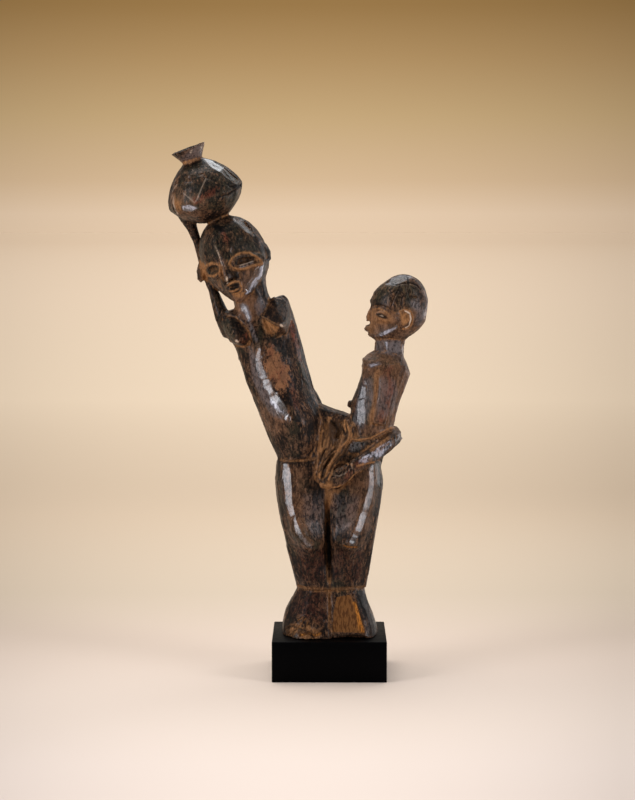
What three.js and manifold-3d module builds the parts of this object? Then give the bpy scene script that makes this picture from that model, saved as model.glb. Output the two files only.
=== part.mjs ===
// Carved wooden maternity figure on a mounting block.
// Millimetres, +Z up, the figure faces -Y. The origin is the middle of the block's underside.
import * as THREE from "three";
import { mergeVertices } from "three/addons/utils/BufferGeometryUtils.js";
import Module from "manifold-3d";

const wasm = await Module();
wasm.setup();

// Driving sizes in millimetres
const figureHeight = 607;
const blockHeight = 50;
const blockSideMargin = 10.5;
const blockFrontMargin = 12.8;
const blockEdgeRound = 1.2;
const blockCornerRound = 3;
const seatGap = 0.3;

// The figure is carved in its own proportions: every place and size on it is given in
// thousandths of the figure's height, measured from the soles and from the block's middle.
const share = figureHeight / 1000;
const soleLevel = blockHeight + seatGap;
const footReachSide = 98;
const footReachFront = 86;

// The block is as large as the feet and their margins
const blockWidth = 2 * (footReachSide * share + blockSideMargin);
const blockDepth = 2 * (footReachFront * share + blockFrontMargin);

const forward = new THREE.Vector3(0, -1, 0);
const fullTurn = 2 * Math.PI;

// Six times the volume inside a mesh, with its sign
function signedVolume(geometry) {
  const points = geometry.getAttribute("position");
  const order = geometry.getIndex();
  const a = new THREE.Vector3();
  const b = new THREE.Vector3();
  const c = new THREE.Vector3();
  let total = 0;
  for (let i = 0; i < order.count; i += 3) {
    a.fromBufferAttribute(points, order.getX(i));
    b.fromBufferAttribute(points, order.getX(i + 1));
    c.fromBufferAttribute(points, order.getX(i + 2));
    total += a.dot(b.cross(c));
  }
  return total;
}

// A solid from a closed geometry, with its faces turned outwards
function solid(geometry) {
  const bare = geometry.clone();
  bare.deleteAttribute("normal");
  bare.deleteAttribute("uv");
  const merged = mergeVertices(bare);
  const order = Uint32Array.from(merged.getIndex().array);
  if (signedVolume(merged) < 0) {
    for (let i = 0; i < order.length; i += 3) {
      const kept = order[i + 1];
      order[i + 1] = order[i + 2];
      order[i + 2] = kept;
    }
  }
  const vertProperties = Float32Array.from(merged.getAttribute("position").array);
  return new wasm.Manifold(new wasm.Mesh({ numProp: 3, vertProperties, triVerts: order }));
}

// A geometry from a solid
function geometryOf(body) {
  const mesh = body.getMesh();
  const geometry = new THREE.BufferGeometry();
  geometry.setAttribute("position", new THREE.BufferAttribute(Float32Array.from(mesh.vertProperties), 3));
  geometry.setIndex(new THREE.BufferAttribute(Uint32Array.from(mesh.triVerts), 1));
  geometry.computeVertexNormals();
  return geometry;
}

// The middle of a ring of points
function middleOf(ring) {
  const middle = new THREE.Vector3();
  for (const point of ring) {
    middle.add(point);
  }
  return middle.divideScalar(ring.length);
}

// A cylinder whose rows of points are moved onto rings, which gives a form skinned over them
function skinned(rings) {
  const sides = rings[0].length;
  const rows = rings.length - 1;
  const cylinder = new THREE.CylinderGeometry(1, 1, 1, sides, rows);
  cylinder.deleteAttribute("normal");
  cylinder.deleteAttribute("uv");
  const form = mergeVertices(cylinder);
  const points = form.getAttribute("position");
  const spot = new THREE.Vector3();
  for (let i = 0; i < points.count; i += 1) {
    spot.fromBufferAttribute(points, i);
    const ring = rings[Math.round((0.5 - spot.y) * rows)];
    const onRim = Math.hypot(spot.x, spot.z) > 0.5;
    const step = Math.round((Math.atan2(spot.x, spot.z) / fullTurn) * sides + sides) % sides;
    const target = onRim ? ring[step] : middleOf(ring);
    points.setXYZ(i, target.x, target.y, target.z);
  }
  return form;
}

// The slope at the middle one of three values, level where they turn back
function easedSlope(before, here, after) {
  const rise = here - before;
  const next = after - here;
  if (rise * next <= 0) {
    return 0;
  }
  const limit = 2 * Math.min(Math.abs(rise), Math.abs(next));
  return Math.sign(rise) * Math.min(Math.abs(after - before) / 2, limit);
}

// The values part way along a row of stations, without kinks
function between(stations, place) {
  const last = stations.length - 1;
  const i = Math.min(Math.floor(place), last - 1);
  const f = place - i;
  const result = {};
  for (const key of Object.keys(stations[0])) {
    const a = stations[Math.max(i - 1, 0)][key];
    const b = stations[i][key];
    const c = stations[i + 1][key];
    const d = stations[Math.min(i + 2, last)][key];
    const slopeStart = easedSlope(a, b, c);
    const slopeEnd = easedSlope(b, c, d);
    const ff = f * f;
    const fff = ff * f;
    result[key] = (2 * fff - 3 * ff + 1) * b + (fff - 2 * ff + f) * slopeStart
      + (3 * ff - 2 * fff) * c + (fff - ff) * slopeEnd;
  }
  return result;
}

// A form through stations, with a number of rings to each stretch between two of them
function formed(stations, ringsPerStretch, ringOf) {
  const rings = [];
  const steps = (stations.length - 1) * ringsPerStretch;
  for (let i = 0; i <= steps; i += 1) {
    rings.push(ringOf(between(stations, i / ringsPerStretch), i / ringsPerStretch));
  }
  return skinned(rings);
}

// A point of an outline whose front and back bow out by their own powers. A power of two
// is round, a smaller one comes to a ridge and a larger one is squarer. The lean carries
// the ridge of the front to one side.
function outlinePoint(turn, size) {
  const across = Math.sin(turn);
  const toFront = Math.cos(turn);
  const power = toFront > 0 ? size.frontPower : size.backPower;
  const reach = toFront > 0 ? size.front : size.back;
  const x = Math.sign(across) * size.half * Math.abs(across) ** (2 / power);
  const away = Math.abs(toFront) ** (2 / power);
  const lean = toFront > 0 ? size.lean * away : 0;
  return { x: x + lean, y: reach * away };
}

// A trunk of the figure: each station has its left and right edge, front and back
function trunk(stations, sides, ringsPerStretch, frontPower, backPower) {
  return formed(stations, ringsPerStretch, (s) => {
    const left = new THREE.Vector3(s.leftX, 0, s.leftZ);
    const right = new THREE.Vector3(s.rightX, 0, s.rightZ);
    const middle = left.clone().add(right).divideScalar(2);
    const along = right.clone().sub(left).normalize();
    const half = right.distanceTo(left) / 2;
    const lean = s.ridge - middle.x;
    const ring = [];
    for (let k = 0; k < sides; k += 1) {
      const size = { half, front: s.front, back: s.back, frontPower, backPower, lean };
      const point = outlinePoint((k / sides) * fullTurn, size);
      ring.push(middle.clone().addScaledVector(along, point.x).setY(point.y));
    }
    return ring;
  });
}

// A limb that follows stations through space, each with its half width and half depth.
// The depth lies towards the facing, which is never the limb's own direction.
function limb(stations, sides, ringsPerStretch, power, facing = forward) {
  const small = 0.02;
  const last = stations.length - 1;
  return formed(stations, ringsPerStretch, (s, place) => {
    const ahead = between(stations, Math.min(place + small, last));
    const behind = between(stations, Math.max(place - small, 0));
    const travel = new THREE.Vector3(ahead.x - behind.x, ahead.y - behind.y, ahead.z - behind.z);
    travel.normalize();
    const sideways = new THREE.Vector3().crossVectors(travel, facing).normalize();
    const outwards = new THREE.Vector3().crossVectors(sideways, travel).normalize();
    const ring = [];
    for (let k = 0; k < sides; k += 1) {
      const turn = ((k + 0.5) / sides) * fullTurn;
      const size = { half: s.wide, front: s.deep, back: -s.deep, frontPower: power, backPower: power, lean: 0 };
      const point = outlinePoint(turn, size);
      ring.push(new THREE.Vector3(s.x, s.y, s.z)
        .addScaledVector(sideways, point.x)
        .addScaledVector(outwards, point.y));
    }
    return ring;
  });
}

// A rounded pebble with its three radii, turned and set at a place
function pebble(place, radii, turns, sides) {
  const geometry = new THREE.SphereGeometry(1, sides, Math.round(sides * 0.6));
  geometry.rotateX(Math.PI / 2);
  geometry.scale(radii[0], radii[1], radii[2]);
  const turn = new THREE.Euler(
    THREE.MathUtils.degToRad(turns[0]),
    THREE.MathUtils.degToRad(turns[1]),
    THREE.MathUtils.degToRad(turns[2]),
    "ZYX",
  );
  geometry.applyMatrix4(new THREE.Matrix4().makeRotationFromEuler(turn));
  geometry.translate(place[0], place[1], place[2]);
  return geometry;
}

// A low pyramid from the corners of its base to a blunt tip
function pyramid(corners, tip) {
  const end = new THREE.Vector3(tip[0], tip[1], tip[2]);
  const rings = [0, 0.93].map((share) => corners.map(
    (corner) => new THREE.Vector3(corner[0], corner[1], corner[2]).lerp(end, share),
  ));
  return skinned(rings);
}

// Joins a list of closed geometries into one solid
function joined(geometries) {
  let body = solid(geometries[0]);
  for (const geometry of geometries.slice(1)) {
    body = body.add(solid(geometry));
  }
  return body;
}

// Takes a list of closed geometries away from a solid
function carvedAway(body, geometries) {
  let rest = body;
  for (const geometry of geometries) {
    rest = rest.subtract(solid(geometry));
  }
  return rest;
}

// The groove between the legs leans a little from the fork down to the feet
function grooveAt(level) {
  return 1 - (8 * (level - 80)) / 220;
}

// How far forward the outer edge of the long bevel stands, as a share of the front
const bevelShare = 0.87;

// One leg or foot. Each station gives the level, the outer edge, the two ridges of the
// long bevel on the thigh, the front, the back, how deep the groove is, how far the
// leg reaches past the groove and how full its inner side stands beside the groove.
function leg(stations, side, ringsPerStretch) {
  return formed(stations, ringsPerStretch, (s) => {
    const corners = [
      [-s.meet, s.front * s.groove],
      [6, s.front * s.inner],
      [s.ridgeIn * 0.5, s.front * (0.45 + 0.55 * s.inner)],
      [s.ridgeIn, s.front],
      [s.ridgeOut, s.front * bevelShare],
      [s.outer * 0.97, s.front * 0.4],
      [s.outer, 0],
      [s.outer * 0.95, s.back * 0.5],
      [s.outer * 0.72, s.back * 0.9],
      [s.outer * 0.4, s.back],
      [7, s.back * 0.9],
      [-s.meet, s.back * s.groove],
    ];
    const ring = [];
    for (const corner of corners) {
      ring.push(new THREE.Vector3(grooveAt(s.level) + side * corner[0], corner[1], s.level));
    }
    return ring;
  });
}

// Legs, from the top of the thighs down to the band above the feet
const leftLegStations = [
  { level: 359, outer: 95, ridgeOut: 82, ridgeIn: 70, front: -50, back: 62, groove: 0.9, meet: 20, inner: 0.95 },
  { level: 350, outer: 101, ridgeOut: 86, ridgeIn: 73, front: -58, back: 74, groove: 0.85, meet: 18, inner: 0.95 },
  { level: 312, outer: 104, ridgeOut: 88, ridgeIn: 71, front: -64, back: 82, groove: 0.8, meet: 12, inner: 0.9 },
  { level: 278, outer: 102, ridgeOut: 86, ridgeIn: 69, front: -68, back: 78, groove: 0.7, meet: 7, inner: 0.86 },
  { level: 240, outer: 97, ridgeOut: 75, ridgeIn: 63, front: -76, back: 66, groove: 0.5, meet: 3, inner: 0.8 },
  { level: 212, outer: 92, ridgeOut: 64, ridgeIn: 51, front: -83, back: 57, groove: 0.35, meet: 2, inner: 0.73 },
  { level: 195, outer: 89, ridgeOut: 50, ridgeIn: 35, front: -88, back: 52, groove: 0.32, meet: 2, inner: 0.68 },
  { level: 178, outer: 86, ridgeOut: 50, ridgeIn: 34, front: -76, back: 50, groove: 0.36, meet: 2, inner: 0.7 },
  { level: 143, outer: 79, ridgeOut: 50, ridgeIn: 36, front: -65, back: 50, groove: 0.5, meet: 4, inner: 0.78 },
  { level: 110, outer: 72, ridgeOut: 50, ridgeIn: 36, front: -58, back: 46, groove: 0.75, meet: 9, inner: 0.9 },
  { level: 95, outer: 69, ridgeOut: 48, ridgeIn: 34, front: -54, back: 43, groove: 0.8, meet: 10, inner: 0.95 },
];
const rightLegStations = [
  { level: 359, outer: 105, ridgeOut: 92, ridgeIn: 76, front: -50, back: 62, groove: 0.9, meet: 20, inner: 0.95 },
  { level: 350, outer: 114, ridgeOut: 100, ridgeIn: 82, front: -58, back: 74, groove: 0.85, meet: 18, inner: 0.95 },
  { level: 312, outer: 118, ridgeOut: 98, ridgeIn: 76, front: -64, back: 82, groove: 0.8, meet: 12, inner: 0.9 },
  { level: 278, outer: 114, ridgeOut: 92, ridgeIn: 71, front: -68, back: 78, groove: 0.7, meet: 7, inner: 0.86 },
  { level: 240, outer: 107, ridgeOut: 79, ridgeIn: 63, front: -76, back: 66, groove: 0.5, meet: 3, inner: 0.8 },
  { level: 212, outer: 101, ridgeOut: 65, ridgeIn: 50, front: -83, back: 57, groove: 0.35, meet: 2, inner: 0.73 },
  { level: 195, outer: 97, ridgeOut: 55, ridgeIn: 41, front: -88, back: 52, groove: 0.32, meet: 2, inner: 0.68 },
  { level: 178, outer: 94, ridgeOut: 55, ridgeIn: 41, front: -76, back: 50, groove: 0.36, meet: 2, inner: 0.7 },
  { level: 143, outer: 87, ridgeOut: 54, ridgeIn: 40, front: -65, back: 50, groove: 0.5, meet: 4, inner: 0.78 },
  { level: 110, outer: 80, ridgeOut: 52, ridgeIn: 38, front: -58, back: 46, groove: 0.75, meet: 9, inner: 0.9 },
  { level: 95, outer: 77, ridgeOut: 50, ridgeIn: 36, front: -54, back: 43, groove: 0.8, meet: 10, inner: 0.95 },
];

// Feet, two flared stumps
const leftFootStations = [
  { level: 99, outer: 62, ridgeOut: 46, ridgeIn: 32, front: -46, back: 36, groove: 0.8, meet: 10, inner: 0.95 },
  { level: 90, outer: 69, ridgeOut: 48, ridgeIn: 34, front: -51, back: 42, groove: 0.8, meet: 10, inner: 0.95 },
  { level: 66, outer: 82, ridgeOut: 56, ridgeIn: 41, front: -60, back: 50, groove: 0.8, meet: 8, inner: 0.95 },
  { level: 48, outer: 92, ridgeOut: 64, ridgeIn: 48, front: -68, back: 57, groove: 0.72, meet: 6, inner: 0.95 },
  { level: 22, outer: 99, ridgeOut: 73, ridgeIn: 56, front: -80, back: 66, groove: 0.72, meet: 6, inner: 0.95 },
  { level: 0, outer: 101, ridgeOut: 76, ridgeIn: 58, front: -86, back: 70, groove: 0.75, meet: 6, inner: 0.95 },
];
const rightFootStations = [
  { level: 99, outer: 67, ridgeOut: 52, ridgeIn: 38, front: -46, back: 36, groove: 0.8, meet: 10, inner: 0.95 },
  { level: 90, outer: 73, ridgeOut: 56, ridgeIn: 40, front: -52, back: 42, groove: 0.8, meet: 10, inner: 0.95 },
  { level: 66, outer: 78, ridgeOut: 66, ridgeIn: 48, front: -59, back: 50, groove: 0.8, meet: 8, inner: 0.95 },
  { level: 48, outer: 85, ridgeOut: 74, ridgeIn: 54, front: -65, back: 57, groove: 0.72, meet: 6, inner: 0.95 },
  { level: 22, outer: 93, ridgeOut: 82, ridgeIn: 64, front: -73, back: 66, groove: 0.72, meet: 6, inner: 0.95 },
  { level: 0, outer: 96, ridgeOut: 84, ridgeIn: 69, front: -78, back: 70, groove: 0.75, meet: 6, inner: 0.95 },
];

// The mother's trunk leans to the left from the waist up to level shoulders
const torsoStations = [
  { leftX: -102, leftZ: 340, rightX: 4, rightZ: 340, front: -44, back: 54, ridge: -56 },
  { leftX: -108, leftZ: 362, rightX: 2, rightZ: 362, front: -53, back: 56, ridge: -64 },
  { leftX: -123, leftZ: 393, rightX: 0, rightZ: 400, front: -67, back: 55, ridge: -62 },
  { leftX: -140, leftZ: 436, rightX: -5, rightZ: 440, front: -77, back: 53, ridge: -72 },
  { leftX: -155, leftZ: 475, rightX: -22, rightZ: 478, front: -69, back: 50, ridge: -90 },
  { leftX: -170, leftZ: 513, rightX: -40, rightZ: 516, front: -59, back: 48, ridge: -108 },
  { leftX: -183, leftZ: 554, rightX: -55, rightZ: 560, front: -51, back: 49, ridge: -124 },
  { leftX: -193, leftZ: 582, rightX: -64, rightZ: 602, front: -46, back: 52, ridge: -136 },
  { leftX: -208, leftZ: 604, rightX: -70, rightZ: 634, front: -44, back: 54, ridge: -152 },
  { leftX: -222, leftZ: 622, rightX: -77, rightZ: 658, front: -42, back: 54, ridge: -158 },
  { leftX: -228, leftZ: 640, rightX: -81, rightZ: 679, front: -36, back: 50, ridge: -160 },
  { leftX: -217, leftZ: 655, rightX: -90, rightZ: 690, front: -24, back: 40, ridge: -158 },
];

// The base of the fork, up to the web between the two trunks
const forkStations = [
  { leftX: -44, leftZ: 330, rightX: 104, rightZ: 330, front: -66, back: 64, ridge: 6 },
  { leftX: -42, leftZ: 352, rightX: 108, rightZ: 346, front: -62, back: 62, ridge: 6 },
  { leftX: -36, leftZ: 378, rightX: 114, rightZ: 368, front: -57, back: 60, ridge: 12 },
  { leftX: -30, leftZ: 404, rightX: 122, rightZ: 392, front: -49, back: 56, ridge: 18 },
  { leftX: -26, leftZ: 434, rightX: 125, rightZ: 416, front: -38, back: 50, ridge: 22 },
  { leftX: -30, leftZ: 462, rightX: 104, rightZ: 430, front: -26, back: 44, ridge: 18 },
  { leftX: -32, leftZ: 474, rightX: 66, rightZ: 436, front: -13, back: 32, ridge: 8 },
];

// The child's trunk, seen from its left side
const childStations = [
  { leftX: 52, leftZ: 390, rightX: 120, rightZ: 392, front: -36, back: 42, ridge: 80 },
  { leftX: 44, leftZ: 404, rightX: 130, rightZ: 412, front: -49, back: 47, ridge: 80 },
  { leftX: 40, leftZ: 440, rightX: 138, rightZ: 446, front: -50, back: 46, ridge: 82 },
  { leftX: 47, leftZ: 478, rightX: 147, rightZ: 476, front: -47, back: 44, ridge: 88 },
  { leftX: 58, leftZ: 506, rightX: 157, rightZ: 502, front: -46, back: 42, ridge: 98 },
  { leftX: 69, leftZ: 540, rightX: 166, rightZ: 528, front: -49, back: 44, ridge: 98 },
  { leftX: 68, leftZ: 556, rightX: 162, rightZ: 545, front: -46, back: 42, ridge: 100 },
  { leftX: 76, leftZ: 569, rightX: 155, rightZ: 560, front: -35, back: 34, ridge: 108 },
  { leftX: 88, leftZ: 577, rightX: 150, rightZ: 571, front: -24, back: 26, ridge: 118 },
];

// The child's neck and head, also seen from the side
const childNeckStations = [
  { leftX: 90, leftZ: 560, rightX: 151, rightZ: 556, front: -28, back: 28, ridge: 118 },
  { leftX: 91, leftZ: 585, rightX: 153, rightZ: 583, front: -27, back: 27, ridge: 120 },
  { leftX: 94, leftZ: 615, rightX: 157, rightZ: 615, front: -27, back: 27, ridge: 122 },
];
const childHeadStations = [
  { leftX: 90, leftZ: 599, rightX: 154, rightZ: 597, front: -22, back: 22, ridge: 122 },
  { leftX: 83, leftZ: 607, rightX: 168, rightZ: 608, front: -32, back: 32, ridge: 124 },
  { leftX: 80, leftZ: 620, rightX: 183, rightZ: 620, front: -41, back: 41, ridge: 130 },
  { leftX: 82, leftZ: 636, rightX: 195, rightZ: 636, front: -47, back: 47, ridge: 136 },
  { leftX: 85, leftZ: 660, rightX: 200, rightZ: 660, front: -50, back: 50, ridge: 142 },
  { leftX: 80, leftZ: 678, rightX: 200, rightZ: 680, front: -49, back: 49, ridge: 144 },
  { leftX: 90, leftZ: 697, rightX: 194, rightZ: 702, front: -44, back: 44, ridge: 146 },
  { leftX: 106, leftZ: 713, rightX: 184, rightZ: 717, front: -35, back: 35, ridge: 148 },
  { leftX: 124, leftZ: 725, rightX: 170, rightZ: 727, front: -22, back: 22, ridge: 150 },
  { leftX: 142, leftZ: 731, rightX: 160, rightZ: 731, front: -8, back: 8, ridge: 150 },
];
const childNoseStations = [
  { x: 87, y: 0, z: 668, wide: 3, deep: 5 },
  { x: 82, y: 0, z: 656, wide: 5, deep: 7 },
  { x: 79, y: 0, z: 645, wide: 6.5, deep: 10 },
  { x: 80, y: 0, z: 637, wide: 6, deep: 10 },
];

// The raised right arm, a thin rod that spreads under the pot
const raisedArmStations = [
  { x: -200, y: 8, z: 606, wide: 18, deep: 22 },
  { x: -213, y: 10, z: 634, wide: 18, deep: 20 },
  { x: -224, y: 14, z: 664, wide: 14, deep: 15 },
  { x: -235, y: 18, z: 694, wide: 10.5, deep: 12 },
  { x: -248, y: 24, z: 730, wide: 10, deep: 11 },
  { x: -262, y: 27, z: 772, wide: 9.5, deep: 11 },
  { x: -269, y: 26, z: 798, wide: 9.5, deep: 11 },
  { x: -277, y: 22, z: 820, wide: 11, deep: 12 },
  { x: -284, y: 16, z: 836, wide: 15, deep: 19 },
  { x: -288, y: 12, z: 856, wide: 24, deep: 28 },
];

// The lowered left arm follows the flank, crosses behind the fork and ends at the elbow
const loweredArmStations = [
  { x: -96, y: 10, z: 670, wide: 15, deep: 22 },
  { x: -83, y: 12, z: 640, wide: 14, deep: 22 },
  { x: -69, y: 18, z: 592, wide: 13, deep: 20 },
  { x: -57, y: 26, z: 545, wide: 12, deep: 17 },
  { x: -43, y: 36, z: 498, wide: 12, deep: 15 },
  { x: -20, y: 46, z: 450, wide: 13, deep: 14 },
  { x: 30, y: 52, z: 418, wide: 14, deep: 13 },
  { x: 84, y: 46, z: 402, wide: 14, deep: 14 },
  { x: 122, y: 26, z: 398, wide: 13, deep: 15 },
];
const forearmStations = [
  { x: 108, y: 44, z: 400, wide: 14, deep: 16 },
  { x: 128, y: 20, z: 406, wide: 17, deep: 17 },
  { x: 130, y: -10, z: 402, wide: 17, deep: 16 },
  { x: 112, y: -40, z: 389, wide: 16, deep: 16 },
  { x: 84, y: -58, z: 370, wide: 15, deep: 15.5 },
  { x: 58, y: -68, z: 354, wide: 13, deep: 15 },
  { x: 42, y: -74, z: 344, wide: 12, deep: 15 },
];

// The elbow's sharp point, corners from the top by the back
const elbowCorners = [
  [124, 2, 426],
  [116, 28, 402],
  [128, 2, 380],
  [116, -24, 400],
];
const elbowTip = [151, 2, 397];

// The hand, a paddle with fingers laid over the top of the thighs
const handStations = [
  { x: 48, y: -70, z: 347, wide: 11, deep: 13 },
  { x: 32, y: -74, z: 336, wide: 12, deep: 18 },
  { x: 12, y: -76, z: 323, wide: 12, deep: 18 },
  { x: -6, y: -77, z: 314, wide: 10, deep: 13 },
  { x: -18, y: -74, z: 311, wide: 7, deep: 7 },
];
const fingerCount = 4;
const fingerStart = new THREE.Vector3(36, -82, 344);
const fingerPitch = new THREE.Vector3(-13, -1.4, -6.5);
const fingerReach = new THREE.Vector3(5, -1, 12);

// The child's thigh under its trunk, and its lower leg down to the mother's hand
const childThighStations = [
  { x: 114, y: -20, z: 398, wide: 20, deep: 20 },
  { x: 90, y: -34, z: 388, wide: 20, deep: 22 },
  { x: 62, y: -43, z: 384, wide: 18, deep: 23 },
  { x: 42, y: -46, z: 388, wide: 13, deep: 16 },
];
const childShinStations = [
  { x: 44, y: -30, z: 424, wide: 10, deep: 11 },
  { x: 36, y: -41, z: 402, wide: 13, deep: 13 },
  { x: 24, y: -50, z: 378, wide: 14, deep: 13 },
  { x: 8, y: -57, z: 354, wide: 12, deep: 12 },
  { x: -8, y: -62, z: 332, wide: 9, deep: 10 },
  { x: -16, y: -64, z: 320, wide: 6, deep: 8 },
];

// The rough ridge from the web down to the finger tips
const forkRidgeStations = [
  { x: -6, y: -22, z: 440, wide: 8, deep: 10 },
  { x: 2, y: -34, z: 418, wide: 9, deep: 10 },
  { x: -1, y: -45, z: 392, wide: 10, deep: 12 },
  { x: -10, y: -54, z: 362, wide: 9, deep: 12 },
  { x: -18, y: -61, z: 336, wide: 7, deep: 10 },
  { x: -18, y: -66, z: 318, wide: 6, deep: 8 },
];

// The dark slots that part the child's legs and the ridge
const slotStations = [
  { x: 24, y: -36, z: 438, wide: 7, deep: 11 },
  { x: 19, y: -50, z: 412, wide: 5, deep: 11 },
  { x: 11, y: -61, z: 386, wide: 3.5, deep: 10 },
  { x: 0, y: -70, z: 360, wide: 2.5, deep: 8 },
];

// The mother's breasts, cut as low pyramids, corners clockwise from the upper left
const rightBreastCorners = [
  [-217, -14, 655],
  [-182, -16, 658],
  [-160, -24, 630],
  [-150, -34, 605],
  [-168, -34, 586],
  [-204, -24, 590],
  [-218, -16, 622],
];
const rightBreastTip = [-183, -80, 601];
const leftBreastCorners = [
  [-114, -16, 688],
  [-84, -8, 684],
  [-75, -8, 644],
  [-86, -22, 612],
  [-112, -34, 603],
  [-138, -30, 652],
];
const leftBreastTip = [-93, -80, 631];

// The child's arms, in low relief down its sides
const childArmStations = [
  { x: 133, y: -34, z: 550, wide: 24, deep: 14 },
  { x: 128, y: -38, z: 524, wide: 21, deep: 14 },
  { x: 114, y: -41, z: 484, wide: 18, deep: 13 },
  { x: 102, y: -44, z: 448, wide: 16, deep: 11 },
  { x: 98, y: -45, z: 432, wide: 15, deep: 9 },
];
const childFarArmStations = childArmStations.map((s) => ({ ...s, y: -s.y - 4 }));

// The mother's neck
const neckStations = [
  { x: -150, y: -2, z: 640, wide: 42, deep: 36 },
  { x: -155, y: -4, z: 672, wide: 38.5, deep: 34 },
  { x: -161, y: -8, z: 698, wide: 37, deep: 34 },
  { x: -168, y: -4, z: 736, wide: 40, deep: 36 },
];

// The mother's head in its own frame: crown up, face forward, origin in its middle
const headMiddle = new THREE.Vector3(-192, -2, 764);
const headTilt = -11;
const headTurn = -17;
const headFrontPower = 1.62;
const headBackPower = 2.1;
const headStations = [
  { leftX: -11, leftZ: -87, rightX: 12, rightZ: -87, front: -66, back: -46, ridge: 12 },
  { leftX: -24, leftZ: -80, rightX: 25, rightZ: -80, front: -72, back: -6, ridge: 12 },
  { leftX: -40, leftZ: -66, rightX: 44, rightZ: -66, front: -74, back: 36, ridge: 12 },
  { leftX: -54, leftZ: -50, rightX: 57, rightZ: -50, front: -75, back: 54, ridge: 11 },
  { leftX: -64, leftZ: -32, rightX: 66, rightZ: -32, front: -76, back: 64, ridge: 8 },
  { leftX: -70, leftZ: -8, rightX: 70, rightZ: -8, front: -77, back: 71, ridge: 2 },
  { leftX: -71, leftZ: 20, rightX: 67, rightZ: 20, front: -78, back: 73, ridge: -4 },
  { leftX: -64, leftZ: 47, rightX: 56, rightZ: 47, front: -70, back: 68, ridge: -6 },
  { leftX: -53, leftZ: 67, rightX: 42, rightZ: 67, front: -54, back: 54, ridge: -6 },
  { leftX: -38, leftZ: 80, rightX: 25, rightZ: 80, front: -34, back: 34, ridge: -6 },
  { leftX: -20, leftZ: 87, rightX: 8, rightZ: 87, front: -12, back: 12, ridge: -6 },
];
const noseStations = [
  { x: 2, y: -76, z: 4, wide: 3, deep: 3 },
  { x: 5, y: -77, z: -12, wide: 5.5, deep: 5 },
  { x: 8, y: -78, z: -28, wide: 9, deep: 11 },
  { x: 9, y: -77, z: -37, wide: 10.5, deep: 13 },
];

// Moves a form from the head's own frame onto the neck
function onHead(geometry) {
  const tilt = new THREE.Matrix4().makeRotationY(THREE.MathUtils.degToRad(headTilt));
  const turn = new THREE.Matrix4().makeRotationZ(THREE.MathUtils.degToRad(headTurn));
  const matrix = new THREE.Matrix4().makeTranslation(headMiddle.x, headMiddle.y, headMiddle.z);
  matrix.multiply(tilt).multiply(turn);
  return geometry.applyMatrix4(matrix);
}

// The place on the face at a level and a turn in degrees from its middle, left negative
function facePlace(turn, level) {
  let place = 0;
  while (between(headStations, place).leftZ < level) {
    place += 0.05;
  }
  const s = between(headStations, place);
  const middle = (s.leftX + s.rightX) / 2;
  const size = {
    half: (s.rightX - s.leftX) / 2,
    front: s.front,
    back: s.back,
    frontPower: headFrontPower,
    backPower: headBackPower,
    lean: s.ridge - middle,
  };
  const point = outlinePoint(THREE.MathUtils.degToRad(turn), size);
  return { x: point.x + middle, y: point.y };
}

// An almond laid on the mother's face. It sinks below the skin by its drop.
function almondOnFace(turn, level, radii, drop, roll) {
  const here = facePlace(turn, level);
  const before = facePlace(turn - 8, level);
  const after = facePlace(turn + 8, level);
  const facingTurn = Math.atan2(after.y - before.y, after.x - before.x);
  const x = here.x - Math.sin(facingTurn) * drop;
  const y = here.y + Math.cos(facingTurn) * drop;
  return onHead(pebble([x, y, level], radii, [0, roll, THREE.MathUtils.radToDeg(facingTurn)], 12));
}

// The pot: a round body with a keel, and a funnel neck straight on its shoulder
const potMiddle = new THREE.Vector3(-249, 0, 888);
const potLean = -20;
const potNod = 5;
const potProfile = [
  [0, -51],
  [28, -50],
  [44, -42],
  [62, -27],
  [75, -12],
  [80, 0],
  [76, 16],
  [66, 35],
  [54, 50],
  [40, 63],
  [20, 76],
  [22, 79],
  [37, 103],
  [31, 103],
  [14, 89],
  [0, 87],
];

function pot() {
  const points = potProfile.map((spot) => new THREE.Vector2(spot[0], spot[1]));
  const geometry = new THREE.LatheGeometry(points, 12);
  geometry.rotateX(Math.PI / 2);
  geometry.rotateX(THREE.MathUtils.degToRad(potNod));
  geometry.rotateY(THREE.MathUtils.degToRad(potLean));
  geometry.translate(potMiddle.x, potMiddle.y, potMiddle.z);
  return geometry;
}

// One finger of the mother's left hand, bent over its upper edge
function finger(index) {
  const start = fingerStart.clone().addScaledVector(fingerPitch, index);
  const end = start.clone().add(fingerReach);
  const stations = [
    { x: start.x - fingerReach.x, y: start.y + 8, z: start.z - fingerReach.z, wide: 5, deep: 5 },
    { x: start.x, y: start.y, z: start.z, wide: 5.5, deep: 5.5 },
    { x: end.x, y: end.y + 6, z: end.z, wide: 4, deep: 5 },
  ];
  return limb(stations, 6, 1, 2.2);
}

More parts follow.
